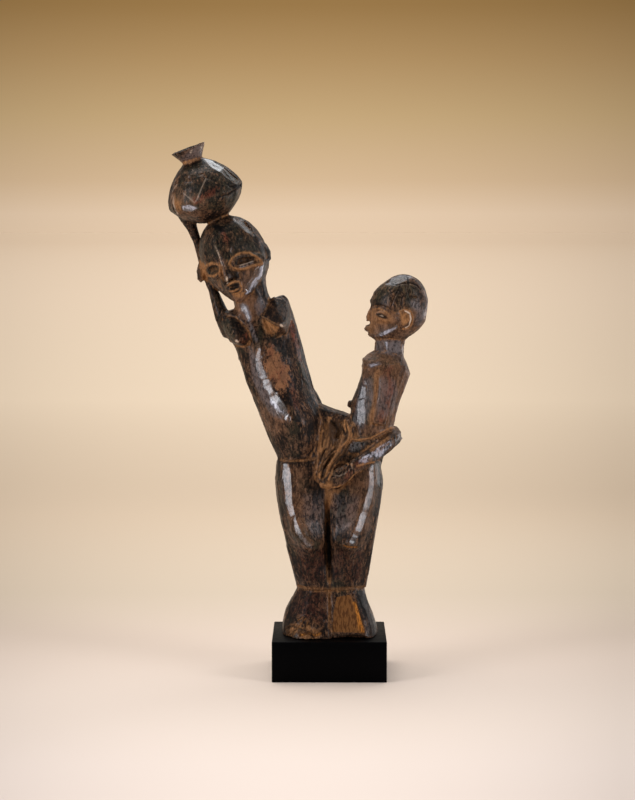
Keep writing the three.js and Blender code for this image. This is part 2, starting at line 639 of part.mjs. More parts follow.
// The parts of the figure that are joined
const up = new THREE.Vector3(0, 0, 1);
const masses = [
  leg(leftLegStations, -1, 1),
  leg(rightLegStations, 1, 1),
  leg(leftFootStations, -1, 1),
  leg(rightFootStations, 1, 1),
  trunk(torsoStations, 16, 1, 1.6, 2.6),
  trunk(forkStations, 12, 1, 2.4, 2.6),
  trunk(childStations, 14, 1, 2.1, 2.4),
  trunk(childNeckStations, 12, 1, 2.0, 2.0),
  trunk(childHeadStations, 16, 1, 2.0, 2.0),
  limb(childNoseStations, 8, 1, 2.2),
  limb(raisedArmStations, 8, 1, 2.2),
  limb(loweredArmStations, 8, 1, 2.6),
  limb(forearmStations, 8, 1, 3.4, up),
  limb(handStations, 8, 1, 2.4, up),
  limb(childThighStations, 8, 1, 2.2, up),
  limb(childShinStations, 8, 1, 2.2),
  limb(forkRidgeStations, 8, 1, 2.0),
  limb(childArmStations, 8, 1, 2.5),
  limb(childFarArmStations, 8, 1, 2.5),
  limb(neckStations, 10, 1, 2.2),
  onHead(trunk(headStations, 18, 1, headFrontPower, headBackPower)),
  onHead(limb(noseStations, 8, 1, 1.8)),
  pot(),
  pyramid(elbowCorners, elbowTip),
  pyramid(rightBreastCorners, rightBreastTip),
  pyramid(leftBreastCorners, leftBreastTip),
];
for (let i = 0; i < fingerCount; i += 1) {
  masses.push(finger(i));
}

// Raised features of the two faces and the small knobs of the child
const features = [
  onHead(pebble([-74, -4, -14], [11, 12, 24], [0, 14, 24], 6)),
  onHead(pebble([64, 8, 0], [8, 17, 23], [0, -8, -26], 7)),
  almondOnFace(-28, -17, [27, 8, 19], 3, 0),
  almondOnFace(46, -12, [42, 8, 18.5], 3, 3),
  onHead(pebble([14, -77, -54], [20, 16, 12], [0, 0, 0], 8)),
  pebble([84, 0, 622], [16, 19, 8], [0, 0, 0], 10),
  pebble([91, 0, 609], [14, 20, 8], [0, 0, 0], 10),
  pebble([104, -41, 650], [14, 7, 10], [0, 4, -14], 10),
  pebble([104, 41, 650], [14, 7, 10], [0, 4, 14], 10),
  pebble([149, -47, 643], [17, 8, 18], [0, 0, 0], 12),
  pebble([149, 47, 643], [17, 8, 18], [0, 0, 0], 12),
  pebble([41, -8, 469], [6, 8, 8], [0, 0, 0], 8),
  pebble([72, -18, 558], [8, 14, 6], [0, 20, 0], 8),
  pebble([72, -18, 546], [9, 14, 6], [0, 10, 0], 8),
];

// Hollows: the eyes, the mouths and the ears
const hollows = [
  almondOnFace(-28, -17, [19, 7, 11], -3.5, 0),
  almondOnFace(45, -11, [31, 7, 9.5], -3.5, 1),
  onHead(pebble([15, -94, -55], [16, 8, 2.6], [0, 0, 0], 10)),
  pebble([44, -88, 0], [46, 22, 10], [0, 0, 0], 12),
  pebble([69, 0, 624.5], [6, 20, 1.6], [0, 0, 0], 8),
  limb(slotStations, 6, 1, 2.0),
  pebble([101, -51, 650], [10, 5, 6], [0, 4, -14], 10),
  pebble([101, 51, 650], [10, 5, 6], [0, 4, 14], 10),
  pebble([146, -57, 643], [11, 6, 12], [0, 0, 0], 10),
  pebble([146, 57, 643], [11, 6, 12], [0, 0, 0], 10),
];

const figureSolid = carvedAway(joined(masses.concat(features)), hollows);

const figureGeometry = geometryOf(figureSolid);
figureGeometry.scale(share, share, share);
figureGeometry.translate(0, 0, soleLevel);

// The mounting block, a slab with its edges just broken
function mountingBlock() {
  const shape = new THREE.Shape();
  const halfWidth = blockWidth / 2 - blockEdgeRound;
  const halfDepth = blockDepth / 2 - blockEdgeRound;
  const round = blockCornerRound - blockEdgeRound;
  const quarter = Math.PI / 2;
  shape.absarc(halfWidth - round, halfDepth - round, round, 0, quarter, false);
  shape.absarc(round - halfWidth, halfDepth - round, round, quarter, 2 * quarter, false);
  shape.absarc(round - halfWidth, round - halfDepth, round, 2 * quarter, 3 * quarter, false);
  shape.absarc(halfWidth - round, round - halfDepth, round, 3 * quarter, 4 * quarter, false);
  shape.closePath();
  const slab = new THREE.ExtrudeGeometry(shape, {
    depth: blockHeight - 2 * blockEdgeRound,
    bevelEnabled: true,
    bevelThickness: blockEdgeRound,
    bevelSize: blockEdgeRound,
    bevelSegments: 2,
    curveSegments: 3,
  });
  slab.translate(0, 0, blockEdgeRound);
  return geometryOf(solid(slab));
}

const darkWood = new THREE.MeshStandardMaterial({ color: 0x2c1d16, roughness: 0.38, metalness: 0 });
const blackLacquer = new THREE.MeshStandardMaterial({ color: 0x0b0b0a, roughness: 0.5, metalness: 0 });

const figure = new THREE.Mesh(figureGeometry, darkWood);
figure.name = "maternity_figure";

const block = new THREE.Mesh(mountingBlock(), blackLacquer);
block.name = "mounting_block";

const part = new THREE.Group();
part.add(figure);
part.add(block);

export default part;
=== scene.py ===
import math

import bmesh
import bpy
import numpy as np
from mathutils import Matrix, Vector
from mathutils.bvhtree import BVHTree
from mathutils.kdtree import KDTree


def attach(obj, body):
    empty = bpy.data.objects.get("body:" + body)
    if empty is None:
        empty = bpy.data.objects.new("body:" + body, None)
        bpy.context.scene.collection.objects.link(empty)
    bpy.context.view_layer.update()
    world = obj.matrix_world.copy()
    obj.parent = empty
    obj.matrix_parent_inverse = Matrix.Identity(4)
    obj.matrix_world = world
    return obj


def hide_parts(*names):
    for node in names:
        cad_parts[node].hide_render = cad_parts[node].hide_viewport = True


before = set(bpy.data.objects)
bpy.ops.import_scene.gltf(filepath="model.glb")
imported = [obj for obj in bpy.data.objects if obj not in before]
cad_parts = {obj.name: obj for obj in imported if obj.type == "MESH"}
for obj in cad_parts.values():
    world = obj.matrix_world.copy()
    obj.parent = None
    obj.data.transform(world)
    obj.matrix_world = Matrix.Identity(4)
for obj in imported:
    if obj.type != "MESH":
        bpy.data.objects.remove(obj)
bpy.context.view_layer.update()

# Sizes in metres; strokes of the knife are given in millimetres
MM = 0.001
CARVING_GRAIN = 1.05 * MM
FIGURE_TRIANGLES = 192000
MELTING = 90

BLOCK_WIDTH = 140.0 * MM
BLOCK_DEPTH = 130.0 * MM
BLOCK_HEIGHT = 50.0 * MM
BLOCK_CORNER = 5.0 * MM
BLOCK_EDGE = 1.0 * MM

# Ways that a cut faces, so that it catches the left or the right light
TO_LEFT = (-0.475, -0.877, 0.07)
TO_RIGHT = (0.49, -0.87, 0.07)

# How a stroke is laid: the way it is seen, from how many metres off, with a place every so many millimetres
FROM_THE_FRONT = (0.0, 1.0, 0.0)
FROM_THE_SIDE = (1.0, 0.0, 0.0)
STROKE_START = 0.4
STROKE_STEP = 1.6

# The share of a stroke's length at which its end starts to fade, a little beyond the end itself
STROKE_END = -0.02

# Limits of the knife: how sharp a kept crease is, how much one cut takes off, and how far a flat reaches
CREASE = (0.014, 0.05)
DEEPEST_FLAT = 2.5 * MM
DEEPEST_FACET = 3.5 * MM
DEEPEST_CHIP = 0.7 * MM
FACET_REACH = 30.0 * MM

# A point is on the front below the first value, and lies flat enough for a chip above the second
FACES_FRONT = -0.1
FACES_ALIKE = 0.75

# The small chips all over: places tried, chips that reach one point, and how far a chip may tilt
CHIP_TRIES = 40000
CHIPS_AT_A_POINT = 4
CHIP_TILT = 0.05

# The camera: its place, its lens, and its downward and sideways turns in degrees
CAMERA_PLACE = (-3.6 * MM, -2578.0 * MM, 568.0 * MM)
CAMERA_LENS = 94.5
CAMERA_DOWN = 5.07
CAMERA_TURN = 0.245


# Handling pieces

def select_only(piece):
    if bpy.context.object and bpy.context.object.mode != "OBJECT":
        bpy.ops.object.mode_set(mode="OBJECT")
    bpy.ops.object.select_all(action="DESELECT")
    piece.select_set(True)
    bpy.context.view_layer.objects.active = piece


def copy_of_node(node_name, name):
    """A merged copy of a solid, free to be carved further."""
    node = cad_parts[node_name]
    mesh = node.data.copy()
    mesh.materials.clear()
    piece = bpy.data.objects.new(name, mesh)
    bpy.context.scene.collection.objects.link(piece)
    select_only(piece)
    bpy.ops.object.mode_set(mode="EDIT")
    bpy.ops.mesh.select_all(action="SELECT")
    bpy.ops.mesh.remove_doubles(threshold=0.01 * MM)
    bpy.ops.object.mode_set(mode="OBJECT")
    return piece


def apply_modifiers(piece):
    select_only(piece)
    for modifier in list(piece.modifiers):
        bpy.ops.object.modifier_apply(modifier=modifier.name)


def even_skin(piece, grain):
    """Gives the piece one closed skin of even squares."""
    remesh = piece.modifiers.new("Even skin", "REMESH")
    remesh.mode = "VOXEL"
    remesh.voxel_size = grain
    apply_modifiers(piece)


def thin_out(piece, triangles):
    """Spares triangles where the surface is flat, then mends slivers and small holes."""
    mesh = piece.data
    mesh.calc_loop_triangles()
    thin = piece.modifiers.new("Thin out", "DECIMATE")
    thin.ratio = min(1.0, triangles / len(mesh.loop_triangles))
    apply_modifiers(piece)
    piece.data.validate()
    bpy.ops.object.mode_set(mode="EDIT")
    bpy.ops.mesh.select_all(action="SELECT")
    bpy.ops.mesh.dissolve_degenerate(threshold=0.02 * MM)
    bpy.ops.mesh.select_all(action="SELECT")
    bpy.ops.mesh.fill_holes(sides=6)
    bpy.ops.mesh.quads_convert_to_tris()
    bpy.ops.object.mode_set(mode="OBJECT")
    piece.data.validate()


# Carving

def smooth_step(values, low, high):
    share = np.clip((values - low) / (high - low), 0.0, 1.0)
    return share * share * (3.0 - 2.0 * share)


def unit(vectors):
    vectors = np.asarray(vectors, dtype=float)
    return vectors / np.maximum(np.linalg.norm(vectors, axis=-1, keepdims=True), 1e-12)


class Mottle:
    """Smooth random values in space, the same on every run."""

    def __init__(self, seed):
        self.cells = 24
        self.values = np.random.default_rng(seed).uniform(-1.0, 1.0, (self.cells,) * 3)

    def at(self, points, spans):
        """Values at the points, with patches about as long as the spans (mm) on the three axes."""
        places = points / (np.asarray(spans) * MM) + 400.0
        floor = np.floor(places).astype(np.int64)
        part = places - floor
        part = part * part * (3.0 - 2.0 * part)
        total = np.zeros(len(points))
        for corner in range(8):
            step = np.array([corner & 1, (corner >> 1) & 1, corner >> 2])
            weight = np.prod(np.where(step, part, 1.0 - part), axis=1)
            cell = (floor + step) % self.cells
            total += weight * self.values[cell[:, 0], cell[:, 1], cell[:, 2]]
        return total


class Skin:
    """The points of a piece, held as arrays so that a knife's cuts can be pressed into them."""

    def __init__(self, piece):
        self.piece = piece
        mesh = piece.data
        self.count = len(mesh.vertices)
        self.points = np.empty(self.count * 3)
        mesh.vertices.foreach_get("co", self.points)
        self.points = self.points.reshape(-1, 3)
        edges = np.empty(len(mesh.edges) * 2, dtype=np.int64)
        mesh.edges.foreach_get("vertices", edges)
        self.edges = edges.reshape(-1, 2)
        self.degree = np.bincount(self.edges.ravel(), minlength=self.count)
        self.masks = {}

    def store(self):
        self.piece.data.vertices.foreach_set("co", self.points.ravel())
        self.piece.data.update()

    def normals(self):
        self.store()
        values = np.empty(self.count * 3)
        self.piece.data.vertex_normals.foreach_get("vector", values)
        return values.reshape(-1, 3)

    def averaged(self, values):
        """Each point's value becomes the mean of its neighbours' values."""
        first, second = self.edges[:, 0], self.edges[:, 1]
        if values.ndim == 1:
            total = np.bincount(first, values[second], self.count)
            total += np.bincount(second, values[first], self.count)
            return total / self.degree
        return np.stack([self.averaged(values[:, axis]) for axis in range(values.shape[1])], axis=1)

    def smoothed(self, values, rounds):
        for _ in range(rounds):
            values = 0.5 * values + 0.5 * self.averaged(values)
        return values

    def melt(self, rounds):
        """Rubs away the shallow corners of the blocked-out shape and keeps its true creases."""
        normals = self.normals()
        spread = self.smoothed(normals, rounds // 4)
        sharpness = 1.0 - np.linalg.norm(spread, axis=1)
        keep = smooth_step(self.smoothed(sharpness, 4), *CREASE)
        keep = self.smoothed(keep, 4)[:, None]
        low = self.smoothed(self.points, rounds)
        rubbed = low + self.smoothed(self.points - low, rounds)
        lightly = self.smoothed(self.points, 5)
        lightly = lightly + self.smoothed(self.points - lightly, 5)
        self.points = keep * lightly + (1.0 - keep) * rubbed

    def settle(self):
        """Takes the present surface as the one that the next strokes are laid on."""
        normals = self.normals()
        self.facing = unit(self.smoothed(normals, 4))
        faces = [tuple(face.vertices) for face in self.piece.data.polygons]
        self.tree = BVHTree.FromPolygons(self.points.tolist(), faces)

    def lay(self, stroke, along=FROM_THE_FRONT, closed=False):
        """Lays a stroke of (x, z) places on the surface, seen along the given way."""
        way = Vector(along).normalized()
        corners = [np.array(corner, dtype=float) for corner in stroke]
        if closed:
            corners.append(corners[0])
        spots = []
        for start, end in zip(corners[:-1], corners[1:]):
            steps = max(1, int(np.linalg.norm(end - start) / STROKE_STEP))
            for step in range(steps):
                spots.append(start + (end - start) * step / steps)
        spots.append(corners[-1])
        path = []
        for across, height in spots:
            if abs(way.y) > 0.5:
                origin = Vector((across * MM, 0.0, height * MM)) - STROKE_START * way
            else:
                origin = Vector((0.0, across * MM, height * MM)) - STROKE_START * way
            place = self.tree.ray_cast(origin, way)[0]
            if place is not None:
                path.append(np.array(place))
        return np.array(path).reshape(-1, 3)

    def near(self, path, reach):
        """The points within reach of a path: which, how far, how far along, and their feet on it."""
        if not len(path):
            return np.zeros(0, dtype=np.int64), np.zeros(0), np.zeros(0), np.zeros((0, 3))
        low = path.min(axis=0) - reach
        high = path.max(axis=0) + reach
        chosen = np.nonzero(np.all((self.points > low) & (self.points < high), axis=1))[0]
        spots = self.points[chosen]
        best = np.full(len(chosen), 1.0e9)
        place = np.zeros(len(chosen))
        foot = np.zeros((len(chosen), 3))
        if len(path) == 1:
            path = np.concatenate([path, path + 1.0e-6])
        lengths = np.linalg.norm(np.diff(path, axis=0), axis=1)
        ends = np.concatenate([[0.0], np.cumsum(lengths)]) / max(lengths.sum(), 1.0e-9)
        for number in range(len(path) - 1):
            step = path[number + 1] - path[number]
            share = np.clip((spots - path[number]) @ step / max(step @ step, 1.0e-18), 0.0, 1.0)
            closest = path[number] + share[:, None] * step
            distance = np.linalg.norm(spots - closest, axis=1)
            nearer = distance < best
            best[nearer] = distance[nearer]
            foot[nearer] = closest[nearer]
            place[nearer] = (ends[number] + share * (ends[number + 1] - ends[number]))[nearer]
        within = best < reach
        return chosen[within], best[within], place[within], foot[within]

    def press(self, stroke, width, depth, fade=0.12, sharp=False, along=FROM_THE_FRONT, closed=False):
        """Presses a line into the surface, or raises it where the depth is negative."""
        path = self.lay(stroke, along, closed)
        chosen, distance, place, _ = self.near(path, 0.5 * width * MM)
        share = distance / (0.5 * width * MM)
        profile = 1.0 - share if sharp else (1.0 - share * share) ** 1.5
        if not closed and fade > 0.0:
            profile = profile * smooth_step(np.minimum(place, 1.0 - place), STROKE_END, fade)
        self.points[chosen] -= (depth * MM * profile)[:, None] * self.facing[chosen]

    def shave(self, stroke, facing, depth, reach, gloss=0.6, along=FROM_THE_FRONT):
        """Takes off all above a flat that follows the stroke, and leaves it polished."""
        path = self.lay(stroke, along)
        facing = unit(facing)
        chosen, distance, place, foot = self.near(path, reach * MM)
        height = (self.points[chosen] - foot) @ facing + depth * MM
        edge = 1.0 - smooth_step(distance / (reach * MM), 0.8, 1.0)
        taper = smooth_step(np.minimum(place, 1.0 - place), STROKE_END, 0.04)
        lowering = np.clip(height, 0.0, DEEPEST_FLAT) * edge * taper
        self.points[chosen] -= lowering[:, None] * facing
        polish = self.masks.setdefault("gloss", np.zeros(self.count))
        polish[chosen] = np.maximum(polish[chosen], gloss * smooth_step(lowering / MM, 0.02, 0.12))

    def soften(self, stroke, width, rounds, along=FROM_THE_FRONT):
        """Rubs a band along a stroke smooth."""
        chosen, distance, _, _ = self.near(self.lay(stroke, along), 0.5 * width * MM)
        share = np.zeros(self.count)
        share[chosen] = 1.0 - smooth_step(distance / (0.5 * width * MM), 0.5, 1.0)
        self.points += share[:, None] * (self.smoothed(self.points, rounds) - self.points)

    def inside(self, outline, all_round=False):
        """Which points lie inside an outline of (x, z) places, on the front alone or all round."""
        across, height = self.points[:, 0] / MM, self.points[:, 2] / MM
        within = np.zeros(self.count, dtype=bool)
        for (first_x, first_z), (last_x, last_z) in zip(outline, outline[1:] + outline[:1]):
            spans = (first_z > height) != (last_z > height)
            rise = last_z - first_z if last_z != first_z else 1.0e-9
            crossing = first_x + (height - first_z) * (last_x - first_x) / rise
            within ^= spans & (across < crossing)
        return within if all_round else within & (self.facing[:, 1] < FACES_FRONT)

    def facet(self, corners, sink=0.0, gloss=0.0):
        """Makes one flat of the surface between corners (x, z) or (x, z, lift) on the front."""
        outline = [(corner[0], corner[1]) for corner in corners]
        spots = []
        for corner in corners:
            laid = self.lay([corner[:2], corner[:2]])
            if len(laid):
                lift = corner[2] if len(corner) > 2 else 0.0
                spots.append(laid[0] - np.array([0.0, lift * MM, 0.0]))
        spots = np.array(spots)
        fit = np.stack([np.ones(len(spots)), spots[:, 0], spots[:, 2]], axis=1)
        start, by_x, by_z = np.linalg.lstsq(fit, spots[:, 1], rcond=None)[0]
        middle = spots.mean(axis=0)
        level = start + by_x * self.points[:, 0] + by_z * self.points[:, 2] + sink * MM
        close = np.abs(self.points[:, 1] - middle[1]) < FACET_REACH
        share = self.smoothed((self.inside(outline) & close).astype(float), 1)
        move = np.clip(level - self.points[:, 1], -DEEPEST_FACET, DEEPEST_FACET)
        self.points[:, 1] += share * move
        if gloss:
            polish = self.masks.setdefault("gloss", np.zeros(self.count))
            self.masks["gloss"] = np.maximum(polish, gloss * share)

    def paint(self, mask, stroke, width, strength=1.0, along=FROM_THE_FRONT, closed=False):
        """Marks a band along a stroke for the finish."""
        values = self.masks.setdefault(mask, np.zeros(self.count))
        path = self.lay(stroke, along, closed)
        chosen, distance, _, _ = self.near(path, 0.5 * width * MM)
        share = 1.0 - smooth_step(distance / (0.5 * width * MM), 0.3, 1.0)
        values[chosen] = np.maximum(values[chosen], strength * share)

    def fill(self, mask, outline, strength=1.0, rounds=3, all_round=False):
        """Marks the surface inside an outline for the finish."""
        values = self.masks.setdefault(mask, np.zeros(self.count))
        marked = self.smoothed(self.inside(outline, all_round).astype(float), rounds)
        self.masks[mask] = np.maximum(values, strength * marked)

    def whittle(self, spacing, depth, seed):
        """Small flat knife facets, longer up and down than across, all over the rounded places."""
        stretch = np.array([1.0, 1.0, 0.5])
        draws = np.random.default_rng(seed)
        order = draws.permutation(self.count)
        taken = {}
        seeds = []
        cell = spacing * MM
        for number in order[:CHIP_TRIES]:
            place = self.points[number] * stretch
            key = tuple(np.floor(place / cell).astype(int))
            if key in taken:
                continue
            taken[key] = True
            seeds.append(number)
        tree = KDTree(len(seeds))
        for number, point in enumerate(seeds):
            tree.insert(Vector(self.points[point] * stretch), number)
        tree.balance()
        seeds = np.array(seeds)
        normals = unit(self.smoothed(self.facing, 10))
        tilts = draws.normal(0.0, CHIP_TILT, (len(seeds), 3))
        planes = unit(normals[seeds] + tilts)
        depths = draws.uniform(0.6, 1.4, len(seeds)) * depth * MM
        lowering = np.zeros(self.count)
        stretched = self.points * stretch
        nearest = np.empty((self.count, CHIPS_AT_A_POINT), dtype=np.int64)
        for number in range(self.count):
            found = tree.find_n(stretched[number], CHIPS_AT_A_POINT)
            for rank in range(CHIPS_AT_A_POINT):
                nearest[number, rank] = found[rank][1]
        for rank in range(CHIPS_AT_A_POINT):
            which = nearest[:, rank]
            offset = self.points - self.points[seeds[which]]
            height = np.einsum("ij,ij->i", offset, planes[which]) + depths[which]
            agree = np.einsum("ij,ij->i", self.facing, planes[which])
            height = np.where(agree > FACES_ALIKE, height, 0.0)
            lowering = np.maximum(lowering, np.clip(height, 0.0, DEEPEST_CHIP))
        self.points -= lowering[:, None] * self.facing

    def splinter(self, stroke, width, depth, spans, seed, along=FROM_THE_FRONT):
        """Breaks a patch up into rough fibres."""
        path = self.lay(stroke, along)
        chosen, distance, _, _ = self.near(path, 0.5 * width * MM)
        share = 1.0 - smooth_step(distance / (0.5 * width * MM), 0.4, 1.0)
        rough = Mottle(seed).at(self.points[chosen], spans)
        rough += 0.5 * Mottle(seed + 1).at(self.points[chosen], [span * 0.45 for span in spans])
        self.points[chosen] -= (depth * MM * share * (0.35 + rough))[:, None] * self.facing[chosen]

    def tear(self, stroke, spread, count, width, depth, seed):
        """Lays torn fibres beside a stroke: some stand proud, most are dark or dusty furrows."""
        draws = np.random.default_rng(seed)
        corners = np.array(stroke, dtype=float)
        marks = np.linspace(0.0, 1.0, len(corners))
        for _ in range(count):
            shift = draws.uniform(-0.5, 0.5) * spread
            start = draws.uniform(0.0, 0.7)
            end = min(1.0, start + draws.uniform(0.2, 0.5))
            places = np.linspace(start, end, 5)
            across = np.interp(places, marks, corners[:, 0]) + shift + draws.normal(0.0, 0.5, 5)
            height = np.interp(places, marks, corners[:, 1]) - 0.25 * shift
            fibre = list(zip(across, height))
            proud = draws.random() < 0.4
            self.press(fibre, width * draws.uniform(0.8, 1.5), (-0.5 if proud else 1.0) * depth, 0.2, True)
            # Proud fibres and some furrows get dust; the other furrows get black crust with painted shade
            mark = "dust" if proud or draws.random() < 0.35 else "crust_and_shade"
            self.paint(mark, fibre, width * 1.8, draws.uniform(0.6, 1.0))


figure = copy_of_node("maternity_figure", "carved_figure")
even_skin(figure, CARVING_GRAIN)
skin = Skin(figure)
skin.melt(MELTING)
skin.settle()
skin.whittle(spacing=13.0, depth=0.34, seed=5)
skin.settle()

# The corner where the raised arm meets the trunk is rubbed round
skin.soften([(-131, 428), (-126, 419), (-120, 410), (-113, 401)], width=24, rounds=60)
for depth in (-16, -4, 8, 20):
    skin.soften([(depth, 428), (depth, 416), (depth, 404)], 26, 60, FROM_THE_SIDE)
skin.settle()

# The pot: polished flats (the lowest also gets a painted highlight further on), two cuts that meet at its
# point and get painted shade, scratched zigzags
for flat in (
    ([(-153, 635), (-143, 633), (-128, 623.5), (-133, 618), (-144, 625)], 0.0, 1.0),
    ([(-128, 623.5), (-108, 607), (-113, 604), (-133, 618)], 0.0, 0.2),
    ([(-178, 577), (-169, 579), (-158, 575), (-166, 570), (-177, 571)], 0.0, 0.9),
):
    skin.facet(*flat)
POT_CUTS = [
    [(-106, 603.5), (-114, 602), (-121, 600.5)],
    [(-106, 603.5), (-114, 597), (-122, 591.5), (-132, 588.5)],
]
for cut in POT_CUTS:
    skin.press(cut, 3.6, 1.9, 0.05, True)
POT_SCRATCHES = [
    [(-191, 594), (-185, 603)],
    [(-176, 593), (-162, 581)],
    [(-162, 581), (-158, 588), (-149, 610)],
    [(-133, 605), (-125, 603), (-117, 599)],
]
for scratch in POT_SCRATCHES:
    skin.press(scratch, 2.2, 0.5, 0.05, True)
for line in (
    ([(-188, 604), (-163, 605)], 2.4, 0.6),
    ([(-159, 613), (-153, 616), (-148, 611), (-138, 607)], 2.4, 0.5),
    ([(-179, 631), (-169, 633), (-161, 636)], 3.0, 1.0),
    ([(-172, 612), (-166, 616)], 6.0, -0.8, 0.3),
):
    skin.press(*line)

# The mother's face
MOTHER_EYE = [(-121, 508), (-116, 516), (-109.5, 520), (-103, 521.5), (-97, 521), (-89.5, 517), (-83, 511.5),
              (-81, 507.5), (-88, 506.5), (-96, 504.2), (-102, 501.6), (-110, 501.3), (-117, 503.5)]
MOTHER_LID = [(-112, 504.5), (-108, 505.2), (-102, 507), (-93, 511)]
MOTHER_LENS = [(-114, 508), (-111, 514), (-104, 517), (-96, 516), (-91, 512.8), (-96, 510.5), (-104, 507.8),
               (-111, 506.2)]
MOTHER_FAR_EYE = [(-153, 499), (-149.5, 505), (-142.5, 508.3), (-134.5, 507.3), (-130, 504.5), (-132.5, 498),
                  (-139, 493.3), (-147.5, 492.3), (-152, 495)]
FAR_LENS = [(-148, 498), (-144, 504), (-136.5, 505), (-133.5, 502), (-137, 498), (-144.5, 495)]
NOSE_SIDE = [(-124.3, 501.8), (-120, 500.3), (-111, 497), (-109.2, 491), (-113, 488.6), (-120, 490),
             (-123.7, 493.7)]
UPPER_LIP = [(-122.4, 482.3), (-118, 485), (-113, 486.5), (-108.3, 487)]
LIP_CORNER = [(-108, 486.7), (-105.6, 480.5), (-106, 476.2), (-109.7, 473.2)]
LOWER_LIP = [(-120.6, 474.8), (-114.8, 475.5), (-109.3, 478.1)]
OPEN_MOUTH = [(-119, 481.3), (-112.5, 483.7), (-108.5, 484), (-108.8, 480), (-112.5, 478), (-118.4, 476.5)]
for flat in (
    ([(-131, 492), (-128, 482), (-119, 468), (-128, 473), (-143, 487)], 0.3, 0.3),
    ([(-104, 500), (-90, 502), (-84, 503), (-92, 489), (-101, 476), (-104, 482)], 0.3),
    ([(-91, 501), (-79.5, 507, 2.0), (-82.5, 490, 2.0), (-93, 490)], 0.0, 0.9),
    ([(-93, 490), (-82.5, 490, 2.0), (-95.5, 470, 2.0), (-102.5, 478)], 0.0, 0.9),
):
    skin.facet(*flat)
skin.press(MOTHER_EYE, 3.8, -1.1, closed=True)
skin.press([(-111, 510), (-104, 513), (-95, 513.5)], 9.0, 2.4, 0.25)
skin.press(MOTHER_LID, 4.0, -1.5, 0.1)
skin.press(MOTHER_FAR_EYE, 3.6, -1.0, closed=True)
skin.press([(-146, 499), (-141, 501.5), (-136, 502.5)], 8.0, 1.4, 0.2)
skin.press([(-139, 533), (-134, 519), (-128.5, 504)], 4.0, -1.2, 0.05, True)
# A painted highlight along the ridge of the forehead
skin.paint("pale", [(-137.5, 529), (-133.6, 519.7), (-128.9, 505.5)], 2.6, 1.0)
for line in (
    ([(-127.4, 505.3), (-126, 499), (-123.8, 492.3), (-123, 488)], 8.0, -2.4, 0.1),
    ([(-117, 500), (-113, 496), (-112, 491)], 5.0, -0.8),
    ([(-130, 502), (-129, 492), (-127.5, 484)], 3.0, 1.0),
    ([(-108.5, 498), (-107.5, 491), (-111, 488)], 3.0, 1.2),
    ([(-122, 488.2), (-116, 487.3), (-110, 488.4)], 3.0, 1.6),
    (UPPER_LIP, 4.4, -2.4),
    (LIP_CORNER, 3.0, -1.4),
    (LOWER_LIP, 3.6, -1.8),
    ([(-118, 479.5), (-113.5, 481), (-109, 481.5)], 5.0, 1.8, 0.2),
    ([(-119, 472), (-112, 471), (-106, 473.5)], 2.8, 1.2),
    ([(-107.5, 494), (-105, 487.5), (-103.5, 479.5), (-105, 472.5)], 3.0, 0.9),
    ([(-117, 468.5), (-110, 466.5), (-104, 467.5)], 6.0, -1.2),
    ([(-150, 491), (-144, 488), (-137, 490), (-132, 494)], 3.0, -0.6),
    ([(-80, 529), (-77, 521), (-76.5, 514), (-79, 509)], 3.0, 1.0),
):
    skin.press(*line)
skin.facet([(-118, 562), (-106, 562), (-96, 551), (-91, 540), (-98, 544), (-108, 553)], 0.0, 0.5)

# The mother's breasts: pyramids with ridges that run to small knobs
RIGHT_BREAST = [(-79.7, 451.8), (-84, 444), (-82, 432), (-77, 422), (-70, 419.5), (-63, 424), (-58, 430.5)]
RIGHT_BREAST_RIDGE = [(-83, 444), (-72, 438.4), (-60.5, 433.2)]
LEFT_BREAST = [(-134, 437), (-123.6, 443.8), (-114.3, 442.2), (-106.3, 435.5), (-98, 425.5), (-94.5, 415),
               (-97.3, 409), (-105.4, 406.5), (-114, 407)]
LEFT_BREAST_RIDGE = [(-125.7, 430.8), (-119.2, 421.7), (-113, 415.5)]
for outline in (RIGHT_BREAST, LEFT_BREAST):
    skin.press(outline, 3.4, 1.1, 0.1)
for ridge in (
    RIGHT_BREAST_RIDGE,
    [(-56.7, 457), (-57.8, 438)],
    [(-51, 452), (-55.5, 437)],
    LEFT_BREAST_RIDGE,
    [(-114.6, 434.7), (-111, 417)],
    [(-98.5, 424), (-109, 415)],
):
    skin.press(ridge, 3.6, -1.4, 0.1)
BREAST_TIPS = [(-57.8, 433.3), (-111.6, 414)]
for tip_x, tip_z in BREAST_TIPS:
    skin.press([(tip_x - 1, tip_z + 1), (tip_x + 1, tip_z - 1)], 5.4, -2.0, 0.0)

# The mother's neck and trunk
skin.press([(-106, 459), (-100, 448), (-98, 438)], 4.0, -0.7)
for flat in (
    ([(-84, 406), (-87, 391), (-84, 378), (-79, 366), (-73, 354)], (-0.47, -0.87, 0.12), 0.45, 6, 0.5),
    ([(-77, 361), (-73, 353), (-65, 338), (-50, 324)], (-0.46, -0.88, 0.14), 0.7, 8, 0.9),
    ([(-107, 461), (-97, 440)], (-0.47, -0.87, 0.12), 0.4, 5, 0.5),
):
    skin.shave(*flat)
skin.press([(-62, 266), (-53, 267), (-35, 267.5), (-19, 269), (-14, 274)], 4.0, 1.5)
for row in range(5):
    level = 286 + 7 * row
    skin.press([(-50 + row, level), (-24 - row, level + 2)], 2.2, 0.4, 0.3)

